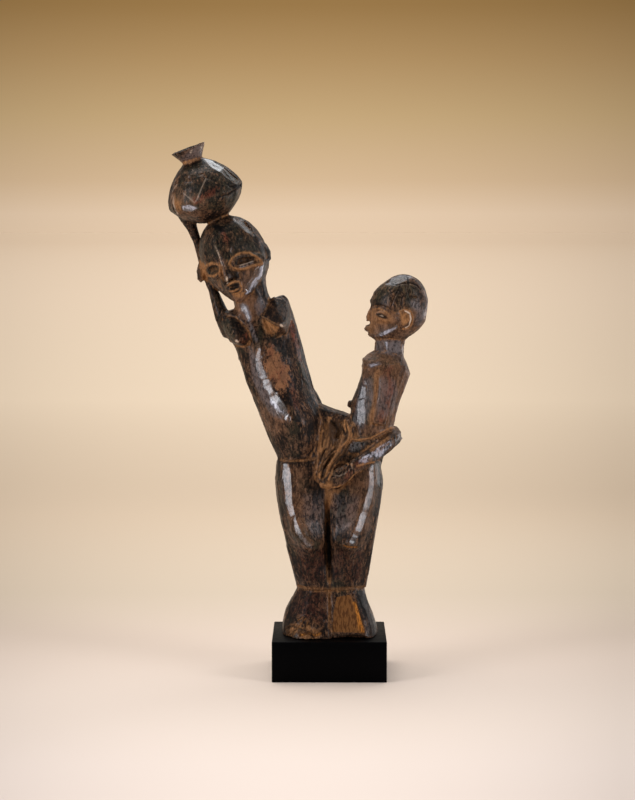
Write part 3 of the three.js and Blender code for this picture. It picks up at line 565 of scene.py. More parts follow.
# The fork: torn ridges between the mother and the child
TORN_RIDGES = [
    [(-1.5, 321), (1, 310), (0, 297), (-2.5, 285), (-8, 270), (-13, 256), (-10, 247)],
    [(18, 315), (20, 303), (23, 294), (16, 286), (13, 278), (2.5, 267), (-5, 258), (-9, 247)],
    [(5, 303), (10, 293), (8, 283)],
]
for ridge in TORN_RIDGES:
    skin.press(ridge, 4.0, -0.9)
FORK_EDGES = [
    [(20.4, 315), (24, 303), (23.9, 294.4), (14.7, 285), (0, 275), (-9.5, 261), (-12, 248)],
    [(23.9, 294.4), (34.9, 293.3), (50.8, 295.3), (68.1, 304), (77, 307)],
    [(-0.5, 315), (0.8, 298), (-1.7, 285), (-9, 272)],
]
for edge in FORK_EDGES:
    skin.press(edge, 4.4, -1.6, 0.05)
FORK_HOLLOWS = [
    [(15, 308), (20, 299)],
    [(-4, 283), (-9, 274), (-12.5, 263)],
    [(6, 277), (-2, 268), (-7, 258)],
]
for line in (
    ([(1, 315), (8, 311), (11, 303), (9, 294)], 9.0, 4.5),
    (FORK_HOLLOWS[0], 5.0, 2.6),
    (FORK_HOLLOWS[1], 6.5, 3.0),
    (FORK_HOLLOWS[2], 5.0, 2.6),
    ([(-18, 280), (-16, 268), (-17, 254)], 3.4, 1.2),
):
    skin.press(*line)
skin.splinter([(6, 318), (4, 300), (2, 282), (-6, 266)], 34.0, 1.5, (4.5, 4.5, 14.0), 31)
for patch in (
    ([(-4, 320), (-4, 300), (-8, 275), (-13, 250)], 13.0, 26, 2.4, 1.0, 61),
    ([(19, 316), (20, 300), (12, 280), (-2, 264), (-9, 249)], 16.0, 34, 2.4, 1.0, 62),
    ([(10, 305), (6, 285), (-4, 262)], 14.0, 18, 2.4, 1.1, 63),
):
    skin.tear(*patch)

# The mother's lower hand and forearm
skin.press([(2, 248.5), (10, 253), (18, 257), (27, 265)], 3.2, 1.5)
FINGER_GAPS = [
    [(2.6, 250.5), (10.4, 253.3)],
    [(9.2, 249.3), (14.7, 256.1)],
    [(16, 251.9), (18.7, 258.7)],
    [(21.3, 255.9), (22.7, 262.6)],
    [(25.3, 258.5), (24.1, 268.5)],
]
for gap in FINGER_GAPS:
    skin.press(gap, 3.0, 1.9, 0.1)
for line in (
    ([(-5, 238), (5, 233.5), (17, 238), (26, 249)], 3.0, 1.0),
    ([(0, 262), (9, 263), (16.5, 260)], 3.0, 1.0),
    ([(-9, 242), (-7, 244)], 5.0, -0.6, 0.3),
):
    skin.press(*line)
skin.facet([(40, 272), (56, 281), (70, 288.5), (81, 295), (81, 285), (68, 275), (50, 266)], 0.3, 0.15)
skin.press([(52, 282), (66, 290), (80, 295)], 3.2, 1.0)
skin.press([(28, 257), (42, 263), (55, 267), (65, 269)], 3.2, 0.9)

# The child's head
CHILD_EYE = [(56, 446.5), (59, 448), (63.5, 447.5), (68, 445), (72, 441), (67, 440.5), (62, 442), (58, 444)]
CHILD_LID = [(52.5, 451), (60.5, 453), (68.5, 449.5), (74, 444)]
CHILD_LOWER_LID = [(56, 444), (61, 439.5), (67, 437.5), (73, 439)]
CHILD_MOUTH = [(44, 431), (49, 431.5)]
skin.facet([(68, 482), (78, 492), (90, 497), (101, 495), (101, 491), (90, 486), (80, 481)], 0.0, 0.2)
skin.facet([(55, 437), (72, 436), (78, 430), (66, 424), (54, 421)], 0.2, 0.2)
skin.press([(56, 446), (62, 444.5), (70, 441)], 10.0, 1.6, 0.3)
skin.press(CHILD_EYE, 2.2, 0.7, closed=True, sharp=True)
for line in (
    ([(59.5, 445.5), (65.5, 443.5)], 3.0, -1.1),
    (CHILD_LID, 2.8, -0.8),
    (CHILD_LOWER_LID, 2.6, -0.5),
    ([(50, 455), (55, 456), (62, 456.5), (70, 454), (75, 450.5), (79, 447.5), (84, 449.5)], 3.0, 1.2),
    (CHILD_MOUTH, 2.2, 1.0),
    ([(45, 437), (49, 438)], 2.6, 0.8),
):
    skin.press(*line)
skin.shave([(56, 417.5), (65, 421.5), (75, 426), (82, 431)], (-0.30, -0.93, -0.05), 0.5, 3.5, 0.5)
CHILD_JAW = [(55, 418.5), (66, 425.5), (76, 429.5), (83, 433), (82, 429), (74, 423.5), (64, 418.5)]
# A painted highlight along the child's jaw
skin.fill("painted_sheen", CHILD_JAW, 1.15, 2)
skin.shave([(69, 412), (70, 402)], (-0.45, -0.88, 0.10), 0.5, 4, 0.8)
CHILD_EAR = [(85, 449.5), (92, 452), (98.5, 449.5), (101, 443), (100, 435.5), (96.5, 430), (90, 428)]
for line in (
    ([(88, 446), (94, 442), (90, 435)], 10.0, 1.8, 0.3),
    (CHILD_EAR, 3.6, -2.4, 0.05),
    ([(84, 447), (82.5, 443), (84, 437.5), (87, 434)], 2.6, 0.8),
):
    skin.press(*line)
CHILD_CRACKS = [
    [(84, 476), (79.5, 475), (75.5, 472), (72.5, 476)],
    [(84, 476), (80, 470), (77, 462.5), (75, 456)],
    [(84, 476), (88.5, 467.5), (87, 459), (86, 452.5)],
    [(84, 476), (91, 470.5), (88.5, 467), (82, 467)],
    [(95.5, 492), (95.5, 487), (96, 481), (94.5, 476), (96.5, 471), (97, 467.5), (106, 467.5)],
    [(76, 483), (82, 481.5), (88.5, 483.5), (98, 484), (106, 481.5), (111, 476)],
    [(84, 476), (85.5, 480)],
]
for crack in CHILD_CRACKS:
    skin.press(crack, 3.0, 1.6, 0.02, True)

# The child's neck, trunk and arm
for line in (
    ([(57, 413.5), (74, 416), (94, 413)], 3.0, 0.8),
    ([(54, 399.5), (70, 401), (89, 394)], 4.0, 0.9),
    ([(41, 378.5), (51, 384), (66, 382)], 3.0, 1.0),
    ([(59, 376), (58.5, 357), (53.5, 329), (51.5, 312)], 4.0, 1.4),
    ([(80.5, 368), (77, 346), (70, 320)], 3.0, 0.8),
    ([(51.5, 311), (65.5, 310)], 2.6, 0.9),
):
    skin.press(*line)
skin.facet([(62, 379), (79, 371), (75, 346), (67, 318), (55, 315), (60, 340)], 0.2, 0.3)
skin.shave([(41, 360), (39, 340), (37, 314)], (-0.46, -0.88, 0.08), 0.8, 7, 0.35)
skin.press([(25, 295), (38, 291.5), (51, 295), (70, 301), (79, 308)], 3.4, 1.3)
skin.press([(16, 282), (23, 290), (33, 292), (46, 293)], 3.0, 0.9)

# The legs: long flats down the thighs, a deep groove between, rough shins
skin.press([(-34, 178), (-25, 168)], 58.0, -4.0, 0.0)
skin.press([(36, 178), (29, 168)], 52.0, -3.0, 0.0)
skin.settle()
skin.shave([(-51, 262), (-50, 240), (-47, 215), (-41, 195), (-33, 178), (-22, 166)], TO_LEFT, 0.8, 9)
skin.shave([(54, 256), (51, 228), (42, 197), (31, 168)], TO_RIGHT, 0.8, 9)
for line in (
    ([(-1.5, 230), (-1, 203), (-0.7, 182), (-0.3, 162), (0, 142), (0.4, 112)], 9.0, 2.4, 0.10),
    ([(-0.9, 195), (-0.3, 162), (0, 142)], 11.0, 3.0, 0.15),
    ([(-10, 232), (-9.5, 203), (-7.5, 180)], 3.0, 0.5),
    ([(9, 232), (8, 203), (7, 180)], 3.0, 0.5),
    ([(15, 170), (23, 165), (35, 163)], 4.0, 1.5),
    ([(-28, 160), (-18, 166)], 4.0, 1.3),
):
    skin.press(*line)
skin.splinter([(-27, 155), (-26, 122)], 24.0, 0.6, (2.0, 2.0, 9.0), 41)
skin.splinter([(25, 155), (25, 122)], 24.0, 0.6, (2.0, 2.0, 9.0), 43)
for line in (
    ([(-39, 111.5), (-24, 110), (-8, 109)], 3.4, 1.1, 0.03),
    ([(8, 108.5), (25, 111), (43, 109)], 3.4, 1.0, 0.03),
    ([(0, 104), (0.2, 80), (0.4, 66)], 4.0, 2.2, 0.08),
    ([(-26, 106), (-25.8, 96)], 2.6, 0.8),
):
    skin.press(*line)

# The feet: a torn toe, and bare wood where the patina broke off
TORN_TOE = [(-50, 56), (-42, 62), (-30, 62), (-18, 56), (-30, 53)]
BARE_PATCH = [(9, 99), (26, 102), (34, 84), (42, 57), (4, 58), (5, 80)]
skin.splinter(TORN_TOE, 24.0, 1.6, (2.5, 2.5, 4.0), 51)
skin.tear([(-54, 54), (-44, 64), (-34, 62), (-20, 53)], 14.0, 34, 2.4, 1.3, 64)
skin.tear([(-36, 74), (-32, 64), (-26, 53)], 20.0, 16, 2.2, 0.8, 65)
skin.splinter([(-30, 96), (-28, 70)], 26.0, 0.5, (2.0, 2.0, 12.0), 57)
skin.facet(BARE_PATCH, 0.5)
skin.press([(27, 102), (35, 84), (43, 57)], 2.2, 0.6, 0.03, True)
skin.press([(9, 100), (27, 102)], 2.2, 0.6, 0.03, True)
skin.splinter([(17, 92), (20, 64)], 30.0, 0.30, (1.6, 1.6, 30.0), 53)

# Worn and dusty places, with painted shade, painted light and painted highlights, laid on the carved surface
skin.settle()
# Painted shade in the pot's two cuts
for cut in POT_CUTS:
    skin.paint("crust_and_shade", cut, 3.4, 1.0)
for scratch in POT_SCRATCHES[:3]:
    skin.paint("pale", scratch, 2.2, 0.3)
# Painted shade in the cracks of the child's head
for crack in CHILD_CRACKS:
    skin.paint("crust_and_shade", crack, 2.6, 0.95)
# Painted shade in the gaps between the fingers, with painted glints beside them
for gap in FINGER_GAPS:
    skin.paint("crust_and_shade", gap, 3.0, 1.0)
    skin.paint("pale", [(gap[0][0] + 2.4, gap[0][1] + 2.0), (gap[1][0] + 2.4, gap[1][1] - 2.0)], 1.6, 0.3)
CHILD_HIP = [(17.8, 286), (27.6, 291), (44.6, 290), (35, 280), (21.5, 277.5)]
EARTH_PATCH = [(-77, 408), (-70, 409), (-64, 403), (-59, 395), (-51, 387), (-48, 377), (-49, 366), (-51, 355),
               (-56, 351), (-62, 355), (-67, 362), (-74, 369), (-78, 379), (-79, 391), (-75, 400)]
# Painted highlights on the tips of the breasts
for tip_x, tip_z in BREAST_TIPS:
    skin.paint("pale", [(tip_x - 1, tip_z + 1), (tip_x + 1, tip_z - 0.5)], 4.2, 1.0)
for fibre in (
    [(-47, 61), (-39.6, 70.5), (-32.2, 76)],
    [(-42, 58.8), (-34.6, 68), (-28.5, 75.4)],
    [(-35.8, 57.6), (-29.7, 65.2), (-24.8, 71.9)],
):
    skin.paint("bare", fibre, 2.4, 0.6)
LEFT_SHIN = [(-41, 163), (-6.5, 159), (-6.5, 121), (-36, 119)]
RIGHT_SHIN = [(6, 159), (40, 159), (40, 118), (6, 121)]
LEFT_INSTEP = [(-38, 105), (-4, 105), (-4, 66), (-30, 78), (-50, 76)]
for outline in (LEFT_SHIN, RIGHT_SHIN, LEFT_INSTEP):
    skin.fill("red", outline, 0.4, 14)
    skin.fill("crust_and_shade", outline, 0.4, 14)
for dot in ((-155.5, 647.9), (-167.4, 642.9)):
    skin.paint("pale", [dot, (dot[0], dot[1] + 1.0)], 2.6, 0.9)

# Bands along strokes: the stroke, its width in millimetres and its strength; a ring also says how it is seen
BANDS = {
    "dust": [
        (MOTHER_EYE, 4.6, 0.9, FROM_THE_FRONT, True),
        (MOTHER_EYE[6:12], 7.0, 0.8),
        (MOTHER_FAR_EYE, 6.0, 0.85, FROM_THE_FRONT, True),
        ([(-120, 487), (-113, 488)], 3.0, 1.0),
        (UPPER_LIP, 4.0, 1.0),
        (LIP_CORNER, 3.0, 1.0),
        (LOWER_LIP, 3.4, 0.9),
        (CHILD_EAR, 5.0, 1.0),
        (CHILD_LID, 3.0, 0.9),
        (CHILD_LOWER_LID, 3.0, 0.8),
        ([(58, 376), (57, 350), (51, 314)], 9.0, 0.55),
        ([(52, 282), (64, 290), (72, 296)], 8.0, 0.6),
        (RIGHT_BREAST_RIDGE, 1.8, 0.6),
        (LEFT_BREAST[1:5], 2.6, 0.6),
        (LEFT_BREAST[6:9], 5.0, 0.6),
        ([(-104.4, 431.5), (-98, 425)], 2.6, 1.0),
        (FORK_EDGES[0], 4.6, 1.0),
        (FORK_EDGES[1], 4.0, 0.9),
        (FORK_EDGES[2], 4.0, 0.6),
        ([(27.4, 264.8), (19, 266.5), (8, 264.8)], 3.6, 0.8),
        ([(33.5, 263.4), (46.9, 266), (58, 268)], 3.6, 0.9),
        ([(-9, 241.5), (3.2, 236.6), (19, 240), (32.3, 254.7)], 4.0, 0.8),
        ([(-14, 268), (-18, 250), (-8, 236), (10, 230), (26, 246)], 6.0, 0.6),
        ([(-0.5, 240), (-0.5, 205)], 16.0, 0.75),
        ([(-60, 267), (-30, 268), (-15, 271)], 5.0, 0.35),
        ([(-40, 110), (-20, 110), (0, 108), (22, 110), (43, 109)], 7.0, 0.35),
        ([(0, 105), (0, 64)], 10.0, 0.5),
        (TORN_TOE, 18.0, 0.6),
        ([(-178, 629), (-162, 634)], 5.0, 0.9),
        ([(-189, 590), (-184, 572)], 8.0, 0.6),
    ],
    # Black crust, and painted shade in the pot's cuts, the fork's hollows, the eyes, the mouth and the groove
    # between the legs
    "crust_and_shade": [
        ([(-124, 603), (-119.5, 605.5), (-110.8, 601.4)], 3.0, 0.7),
        ([(-106, 603.5), (-116, 599)], 6.0, 0.9),
        ([(92, 378), (86, 392)], 7.0, 0.6),
        ([(82, 372), (78, 346), (72, 322)], 2.4, 0.7),
        ([(2, 315), (8, 311), (10, 306)], 7.0, 0.9),
        (FORK_HOLLOWS[0], 5.0, 0.8),
        (FORK_HOLLOWS[1], 4.0, 0.9),
        (FORK_HOLLOWS[2], 3.6, 0.9),
        ([(-148.5, 497.5), (-145.6, 503), (-139.8, 505.3), (-135, 505)], 1.8, 0.9),
        ([(50, 456), (62, 458), (75, 453), (83, 451)], 4.4, 0.4),
        (CHILD_MOUTH, 2.0, 1.0),
        ([(-189.5, 641.7), (-178, 646.5), (-166, 650.5), (-155.4, 653)], 3.0, 0.8),
        ([(-138, 553), (-130, 549)], 12.0, 1.0),
        ([(-0.8, 184), (-0.3, 162), (0, 142)], 14.0, 1.0),
        ([(-0.9, 205), (0, 125)], 7.0, 0.8),
    ],
    # A painted highlight along the mother's lower eyelid
    "painted_sheen": [
        ([(-108, 503.8), (-101, 505), (-93, 508.5)], 3.6, 0.9),
    ],
    # Pale marks, mostly painted highlights and glints: the eyelid's slit, the nose's tip, the child's ear and
    # eye, and the pot
    "pale": [
        ([(-107.7, 506.2), (-100.7, 508.2), (-92.5, 510.8)], 1.8, 0.6),
        ([(-123.6, 491), (-122.6, 485)], 3.0, 1.2),
        ([(92, 450.5), (97.5, 447.5), (99, 441), (97, 433), (93, 430.5)], 2.8, 1.2),
        ([(-152.4, 653.5), (-151.5, 655.5)], 5.0, 0.7),
        ([(-190.8, 589.4), (-188.8, 578.5)], 2.4, 0.5),
        ([(-188.8, 578.5), (-183.7, 567)], 3.0, 0.6),
        ([(60.5, 445.3), (64.5, 444)], 1.6, 0.5),
    ],
    "olive": [
        (RIGHT_BREAST_RIDGE, 2.4, 1.0),
        (LEFT_BREAST_RIDGE, 2.6, 1.0),
        ([(60, 470), (80, 484), (96, 476)], 34.0, 0.8),
    ],
    "bare": [
        ([(-35.8, 55.3), (-26, 58), (-17.5, 54.5), (-11.4, 56.7)], 6.0, 0.85),
        ([(17, 166), (33, 163)], 4.0, 0.8),
        ([(31, 92), (36, 76), (41, 59)], 7.0, 1.0),
    ],
    "red": [
        ([(72, 378), (74, 350), (64, 320)], 18.0, 0.6),
        ([(-52, 372), (-44, 352), (-40, 335)], 14.0, 0.6),
        ([(-46, 432), (-42, 412), (-36, 392)], 15.0, 0.95),
        ([(-160, 583), (-144, 592), (-134, 598)], 12.0, 0.9),
        ([(20, 250), (30, 262), (48, 272)], 12.0, 0.6),
        ([(-128, 545), (-124, 532)], 9.0, 0.8),
    ],
}
for finish, rows in BANDS.items():
    for row in rows:
        skin.paint(finish, *row)

# Places inside outlines: the outline, its strength, the blur of its edge, and True where it goes all round
PLACES = {
    # Black crust, and painted shade in the fork's hollow, the eyes, the nose's side, the mouth, on the
    # breasts, below the near breast and down the feet's sides
    "crust_and_shade": [
        ([(-2.3, 312), (4.4, 318), (14.8, 315), (16.6, 305), (11, 294), (4.4, 286), (-0.5, 295)], 0.7, 5),
        (MOTHER_LENS, 0.7, 2),
        (FAR_LENS, 0.45, 2),
        (NOSE_SIDE, 0.7, 3),
        (OPEN_MOUTH, 0.8, 1),
        (CHILD_EYE, 0.9, 1),
        ([(-76, 452), (-66, 457), (-54, 459), (-51, 448), (-53, 437.5), (-60, 435.4), (-69.6, 441),
          (-79, 446)], 0.6, 4),
        ([(-124, 441), (-114, 440), (-107, 434), (-101, 427), (-111, 418), (-116, 427)], 0.55, 4),
        ([(37.8, 108), (45.5, 98), (55, 63), (57.6, 51.5), (48.6, 52), (45, 72), (36.5, 95)], 0.75, 3),
        ([(-38.7, 105), (-47.3, 87), (-56, 62), (-57, 51), (-49.5, 53), (-46, 76), (-36, 96)], 0.75, 3),
        ([(-84, 418), (-50, 418), (-44, 396), (-56, 392), (-66, 408)], 0.65, 10),
        ([(-176, 600), (-150, 611), (-128, 603), (-134, 594), (-160, 590)], 0.4, 12),
    ],
    "olive": [
        ([(48, 372), (57, 374), (58, 350), (50, 312), (40, 312)], 0.8, 5),
        (CHILD_HIP, 1.0, 5),
        (FAR_LENS, 1.0, 2),
        ([(-133, 434), (-124, 440), (-117, 427), (-113, 417), (-122, 418)], 0.9, 4),
        ([(-190, 572), (-112, 572), (-104, 604), (-140, 640), (-180, 620)], 0.6, 16, True),
        ([(-150, 510), (-90, 524), (-92, 548), (-118, 560), (-142, 545)], 0.5, 16, True),
    ],
    "dust": [
        ([(-118.5, 472), (-110.7, 474), (-105.6, 474), (-102.5, 471.6), (-105.7, 467), (-113, 467)],
          1.0, 2),
        ([(-135, 503), (-128, 500), (-127, 486), (-134, 492)], 0.5, 4),
        ([(-161, 511), (-152, 508), (-149, 484), (-156, 486)], 0.95, 3),
        ([(85, 448), (96, 449), (98, 438), (88, 432)], 0.9, 3),
        ([(46, 450), (60, 452), (72, 447), (80, 440), (72, 434), (60, 432), (50, 420), (46, 430)],
          0.5, 20),
        ([(-8, 318), (18, 314), (20, 296), (8, 268), (-8, 244), (-14, 262), (-8, 290)], 0.5, 14),
        ([(-82.7, 442), (-72, 436.6), (-61.6, 431), (-64, 424), (-70.6, 420.7), (-77, 423), (-81, 432)],
          0.95, 2),
        ([(-191, 585), (-186, 574), (-178, 572), (-182, 584)], 0.8, 4),
    ],
    "earth": [
        (EARTH_PATCH, 1.0, 14),
    ],
    "red": [
        ([(-101, 426), (-98, 418), (-104, 410), (-110, 414)], 0.8, 4),
    ],
    "bare": [
        (BARE_PATCH, 0.72, 2),
    ],
    # Lighter brown patina, partly real wear and partly painted light, over the child, parts of the mother's
    # trunk, face and thighs, and the pot
    "worn_and_lit": [
        ([(40, 300), (125, 300), (125, 400), (40, 400)], 0.58, 24, True),
        ([(40, 400), (125, 400), (125, 455), (40, 455)], 0.5, 24, True),
        ([(40, 455), (125, 455), (125, 500), (40, 500)], 0.15, 24, True),
        ([(46, 452), (78, 450), (84, 438), (72, 424), (52, 418)], 0.85, 24, True),
        ([(-101, 410), (-82, 404), (-62, 335), (-50, 300), (-80, 300)], 0.5, 24, True),
        ([(-118, 470), (-92, 470), (-78, 452), (-96, 436), (-112, 446)], 1.0, 24, True),
        ([(-100, 505), (-80, 505), (-84, 486), (-100, 470), (-110, 480)], 0.7, 24, True),
        ([(-190, 632), (-165, 648), (-148, 656), (-154, 634), (-172, 628)], 0.7, 24, True),
        ([(-196, 590), (-180, 600), (-150, 590), (-140, 570), (-180, 560)], 0.5, 24, True),
        ([(-60, 262), (-30, 262), (-22, 180), (-48, 180)], 0.45, 24, True),
        ([(30, 262), (60, 258), (50, 180), (18, 180)], 0.45, 24, True),
    ],
    # Painted sheen and painted highlights: a grey-blue sheen on faces turned to the lamps, near white where a
    # highlight is wanted
    "painted_sheen": [
        ([(-79.5, 508), (-81.5, 494), (-87, 484), (-94, 474.5), (-101.5, 470), (-98.5, 477),
          (-92.5, 485.5), (-88, 495), (-84, 503.5)], 1.5, 2),
        ([(-70, 344), (-62, 337), (-52, 327), (-50, 323), (-57, 324), (-66, 331), (-73, 341)], 1.3, 2),
        ([(-38, 184), (-30, 174), (-22, 166), (-20, 162), (-26, 165), (-34, 174), (-40, 183)], 1.1, 2),
        ([(-178, 577), (-169, 579), (-158, 575), (-166, 571), (-177, 572)], 1.3, 2),
        ([(-89, 402), (-97, 396), (-94, 366), (-82, 340), (-70, 323), (-55, 319), (-65, 338),
          (-79, 364), (-86, 383)], 0.6, 10),
        ([(-105, 461), (-99, 455), (-95, 443), (-98, 433), (-104, 446), (-109, 456)], 1.0, 4),
        ([(-97, 438), (-91, 427), (-86, 413), (-92, 413), (-97, 424)], 0.7, 4),
        ([(-86, 468), (-80, 463), (-77, 451), (-87, 444), (-91, 457)], 0.8, 6),
        ([(58, 414), (88, 414), (88, 394), (57, 399)], 0.7, 8),
        ([(41, 368), (52, 366), (54, 342), (42, 308), (29, 312), (35, 348)], 0.7, 10),
        ([(60, 369), (80, 366), (84, 350), (78, 325), (58, 317)], 0.5, 10),
        ([(92, 463), (108, 463), (116, 449), (113, 432), (104, 432), (107, 449)], 0.6, 10),
        ([(69, 482), (78, 492), (90, 497), (101, 495), (101, 491), (90, 486), (80, 481)], 0.75, 5),
        ([(67, 413), (71.5, 413), (72, 402), (68.5, 402)], 1.2, 2),
        ([(46, 385), (60, 389), (64, 386), (50, 381)], 1.1, 2),
        ([(34.7, 269), (40.2, 274.1), (53.6, 281.8), (64.4, 289.1), (72.7, 292), (78.3, 290.7),
          (77.5, 286.8), (70, 279.3), (63.1, 272.9), (50.9, 269.8), (42.8, 265.3), (37.4, 265)], 1.15, 2),
        ([(-32, 228), (-9, 228), (-5, 205), (-10, 174), (-21, 174.5), (-31, 202)], 0.28, 16),
        ([(3, 228), (38, 225), (32, 199), (20, 182), (6, 189)], 0.28, 16),
        (CHILD_HIP, 0.6, 5),
        ([(-184, 632), (-165, 648), (-152, 652), (-156, 637), (-172, 630)], 0.5, 8),
    ],
}
for finish, rows in PLACES.items():
    for row in rows:
        skin.fill(finish, *row)

skin.store()
skin.points = skin.smoothed(skin.points, 1)
skin.store()


def hollowness(rounds):
    """How far each point lies under (positive) or above its surroundings, in millimetres."""
    normals = skin.normals()
    blurred = skin.smoothed(skin.points, rounds)
    return skin.smoothed(np.einsum("ij,ij->i", blurred - skin.points, normals) / MM, 2)


fine = hollowness(12)
broad = hollowness(90)
skin.masks["hollow"] = np.clip(smooth_step(fine, 0.06, 0.45) + smooth_step(broad, 0.5, 2.6), 0.0, 1.0)
skin.masks["wear"] = smooth_step(-fine, 0.12, 0.6)

full_points = skin.points.copy()
thin_out(figure, FIGURE_TRIANGLES)

# The masks go over to the thinned skin from the nearest points of the full one
lookup = KDTree(len(full_points))
for number, point in enumerate(full_points):
    lookup.insert(point, number)
lookup.balance()
nearest = [lookup.find(vertex.co)[1] for vertex in figure.data.vertices]
for name, values in skin.masks.items():
    attribute = figure.data.attributes.new(name, "FLOAT", "POINT")
    attribute.data.foreach_set("value", values[nearest].astype(np.float32))
figure.data.shade_smooth()


# The block: a plain box with rounded corners and a small edge all round

bpy.ops.object.select_all(action="DESELECT")
bpy.ops.mesh.primitive_cube_add(size=1.0, location=(0.0, 0.0, 0.5 * BLOCK_HEIGHT))
block = bpy.context.object
block.name = "lacquered_block"
block.scale = (BLOCK_WIDTH, BLOCK_DEPTH, BLOCK_HEIGHT)
bpy.ops.object.transform_apply(location=True, rotation=True, scale=True)
bpy.ops.object.mode_set(mode="EDIT")
block_mesh = bmesh.from_edit_mesh(block.data)
for edge in block_mesh.edges:
    first, second = edge.verts
    edge.select_set(abs(first.co.z - second.co.z) > 0.5 * BLOCK_HEIGHT)
bmesh.update_edit_mesh(block.data)
bpy.ops.mesh.bevel(offset=BLOCK_CORNER, segments=6)
bpy.ops.object.mode_set(mode="OBJECT")
edges = block.modifiers.new("Eased edges", "BEVEL")
edges.width = BLOCK_EDGE
edges.segments = 3
edges.limit_method = "ANGLE"
edges.angle_limit = math.radians(50.0)
apply_modifiers(block)
bpy.ops.object.shade_smooth_by_angle(angle=math.radians(40.0))


# Finishes

def new_material(name):
    material = bpy.data.materials.new(name)
    material.use_nodes = True
    tree = material.node_tree
    tree.nodes.clear()
    output = tree.nodes.new("ShaderNodeOutputMaterial")
    shader = tree.nodes.new("ShaderNodeBsdfPrincipled")
    tree.links.new(shader.outputs["BSDF"], output.inputs["Surface"])
    return material, tree, shader


def feed(tree, socket, value):
    """Links a socket or sets a plain value."""
    if hasattr(value, "is_output"):
        tree.links.new(value, socket)
    elif isinstance(value, tuple) and len(value) == 3 and socket.type == "RGBA":
        socket.default_value = (*value, 1.0)
    else:
        socket.default_value = value


def math_node(tree, operation, first, second=0.0, clamped=True):
    node = tree.nodes.new("ShaderNodeMath")
    node.operation = operation
    node.use_clamp = clamped and operation in ("ADD", "MULTIPLY", "SUBTRACT")
    feed(tree, node.inputs[0], first)
    feed(tree, node.inputs[1], second)
    return node.outputs[0]


def times(tree, first, second):
    return math_node(tree, "MULTIPLY", first, second)


def plus(tree, first, second):
    return math_node(tree, "ADD", first, second)


def minus(tree, first, second):
    return math_node(tree, "SUBTRACT", first, second)


def larger(tree, first, second):
    return math_node(tree, "MAXIMUM", first, second)


def blend(tree, share, first, second):
    node = tree.nodes.new("ShaderNodeMix")
    node.data_type = "RGBA"
    feed(tree, node.inputs["Factor"], share)
    feed(tree, node.inputs[6], first)
    feed(tree, node.inputs[7], second)
    return node.outputs[2]


def span(tree, value, low, high, start=0.0, end=1.0):
    node = tree.nodes.new("ShaderNodeMapRange")
    node.interpolation_type = "SMOOTHSTEP"
    feed(tree, node.inputs[0], value)
    for number, level in enumerate((low, high, start, end)):
        node.inputs[number + 1].default_value = level
    return node.outputs[0]


def speckle_group():
    """Noise on the object's own coordinates, drawn out along its axes, shared by the finishes."""
    group = bpy.data.node_groups.new("Speckle", "ShaderNodeTree")
    for name, kind in (
        ("Place", "NodeSocketVector"),
        ("Stretch", "NodeSocketVector"),
        ("Offset", "NodeSocketVector"),
        ("Scale", "NodeSocketFloat"),
        ("Detail", "NodeSocketFloat"),
        ("Roughness", "NodeSocketFloat"),
    ):
        group.interface.new_socket(name, in_out="INPUT", socket_type=kind)
    group.interface.new_socket("Value", in_out="OUTPUT", socket_type="NodeSocketFloat")
    given = group.nodes.new("NodeGroupInput")
    result = group.nodes.new("NodeGroupOutput")
    mapping = group.nodes.new("ShaderNodeMapping")
    noise = group.nodes.new("ShaderNodeTexNoise")
    group.links.new(given.outputs["Place"], mapping.inputs["Vector"])
    group.links.new(given.outputs["Stretch"], mapping.inputs["Scale"])
    group.links.new(given.outputs["Offset"], mapping.inputs["Location"])
    group.links.new(mapping.outputs[0], noise.inputs["Vector"])
    for name in ("Scale", "Detail", "Roughness"):
        group.links.new(given.outputs[name], noise.inputs[name])
    group.links.new(noise.outputs[0], result.inputs["Value"])
    return group


SPECKLE = speckle_group()


def speckle(tree, place, stretch, scale, detail=4.0, roughness=0.55, offset=0.0):
    """Places the shared speckle in a material with its own values."""
    node = tree.nodes.new("ShaderNodeGroup")
    node.node_tree = SPECKLE
    tree.links.new(place, node.inputs["Place"])
    node.inputs["Stretch"].default_value = stretch
    node.inputs["Offset"].default_value = (offset, offset, offset)
    node.inputs["Scale"].default_value = scale
    node.inputs["Detail"].default_value = detail
    node.inputs["Roughness"].default_value = roughness
    return node.outputs["Value"]


def colour_stops(ramp, tones, length=1.0):
    """Gives a ramp its colours at places along a length."""
    stops = ramp.color_ramp.elements
    while len(stops) < len(tones):
        stops.new(0.5)
    for stop, (place, tone) in zip(stops, tones):
        stop.position = place / length
        stop.color = (*tone, 1.0)


# Painted shade: the paper darkens with the square of the distance from a line a little left of the middle
SIDE_SHIFT = 0.020
SIDE_DARKENING = 9.5
MOST_DARKENING = 0.25


def shade_off(tree, sideways):
    """How much painted shade darkens the studio's paper towards the sides of the picture."""
    shifted = math_node(tree, "ADD", sideways, SIDE_SHIFT, False)
    squared = math_node(tree, "POWER", math_node(tree, "ABSOLUTE", shifted), 2.0)
    return math_node(tree, "MINIMUM", times(tree, squared, SIDE_DARKENING), MOST_DARKENING)


def mask(tree, name):
    node = tree.nodes.new("ShaderNodeAttribute")
    node.attribute_name = name
    return node.outputs["Fac"]


def raise_bump(tree, shader, height, distance, strength):
    bump = tree.nodes.new("ShaderNodeBump")
    bump.inputs["Distance"].default_value = distance
    bump.inputs["Strength"].default_value = strength
    tree.links.new(height, bump.inputs["Height"])
    tree.links.new(bump.outputs["Normal"], shader.inputs["Normal"])


DARK_PATINA = (0.0085, 0.0055, 0.0043)
# Black, for crust and for painted shade in cuts, gaps and hollows
BLACK_CRUST_AND_SHADE = (0.0030, 0.0024, 0.0024)
BROWN_PATINA = (0.115, 0.056, 0.029)
OLIVE_PATINA = (0.042, 0.036, 0.022)
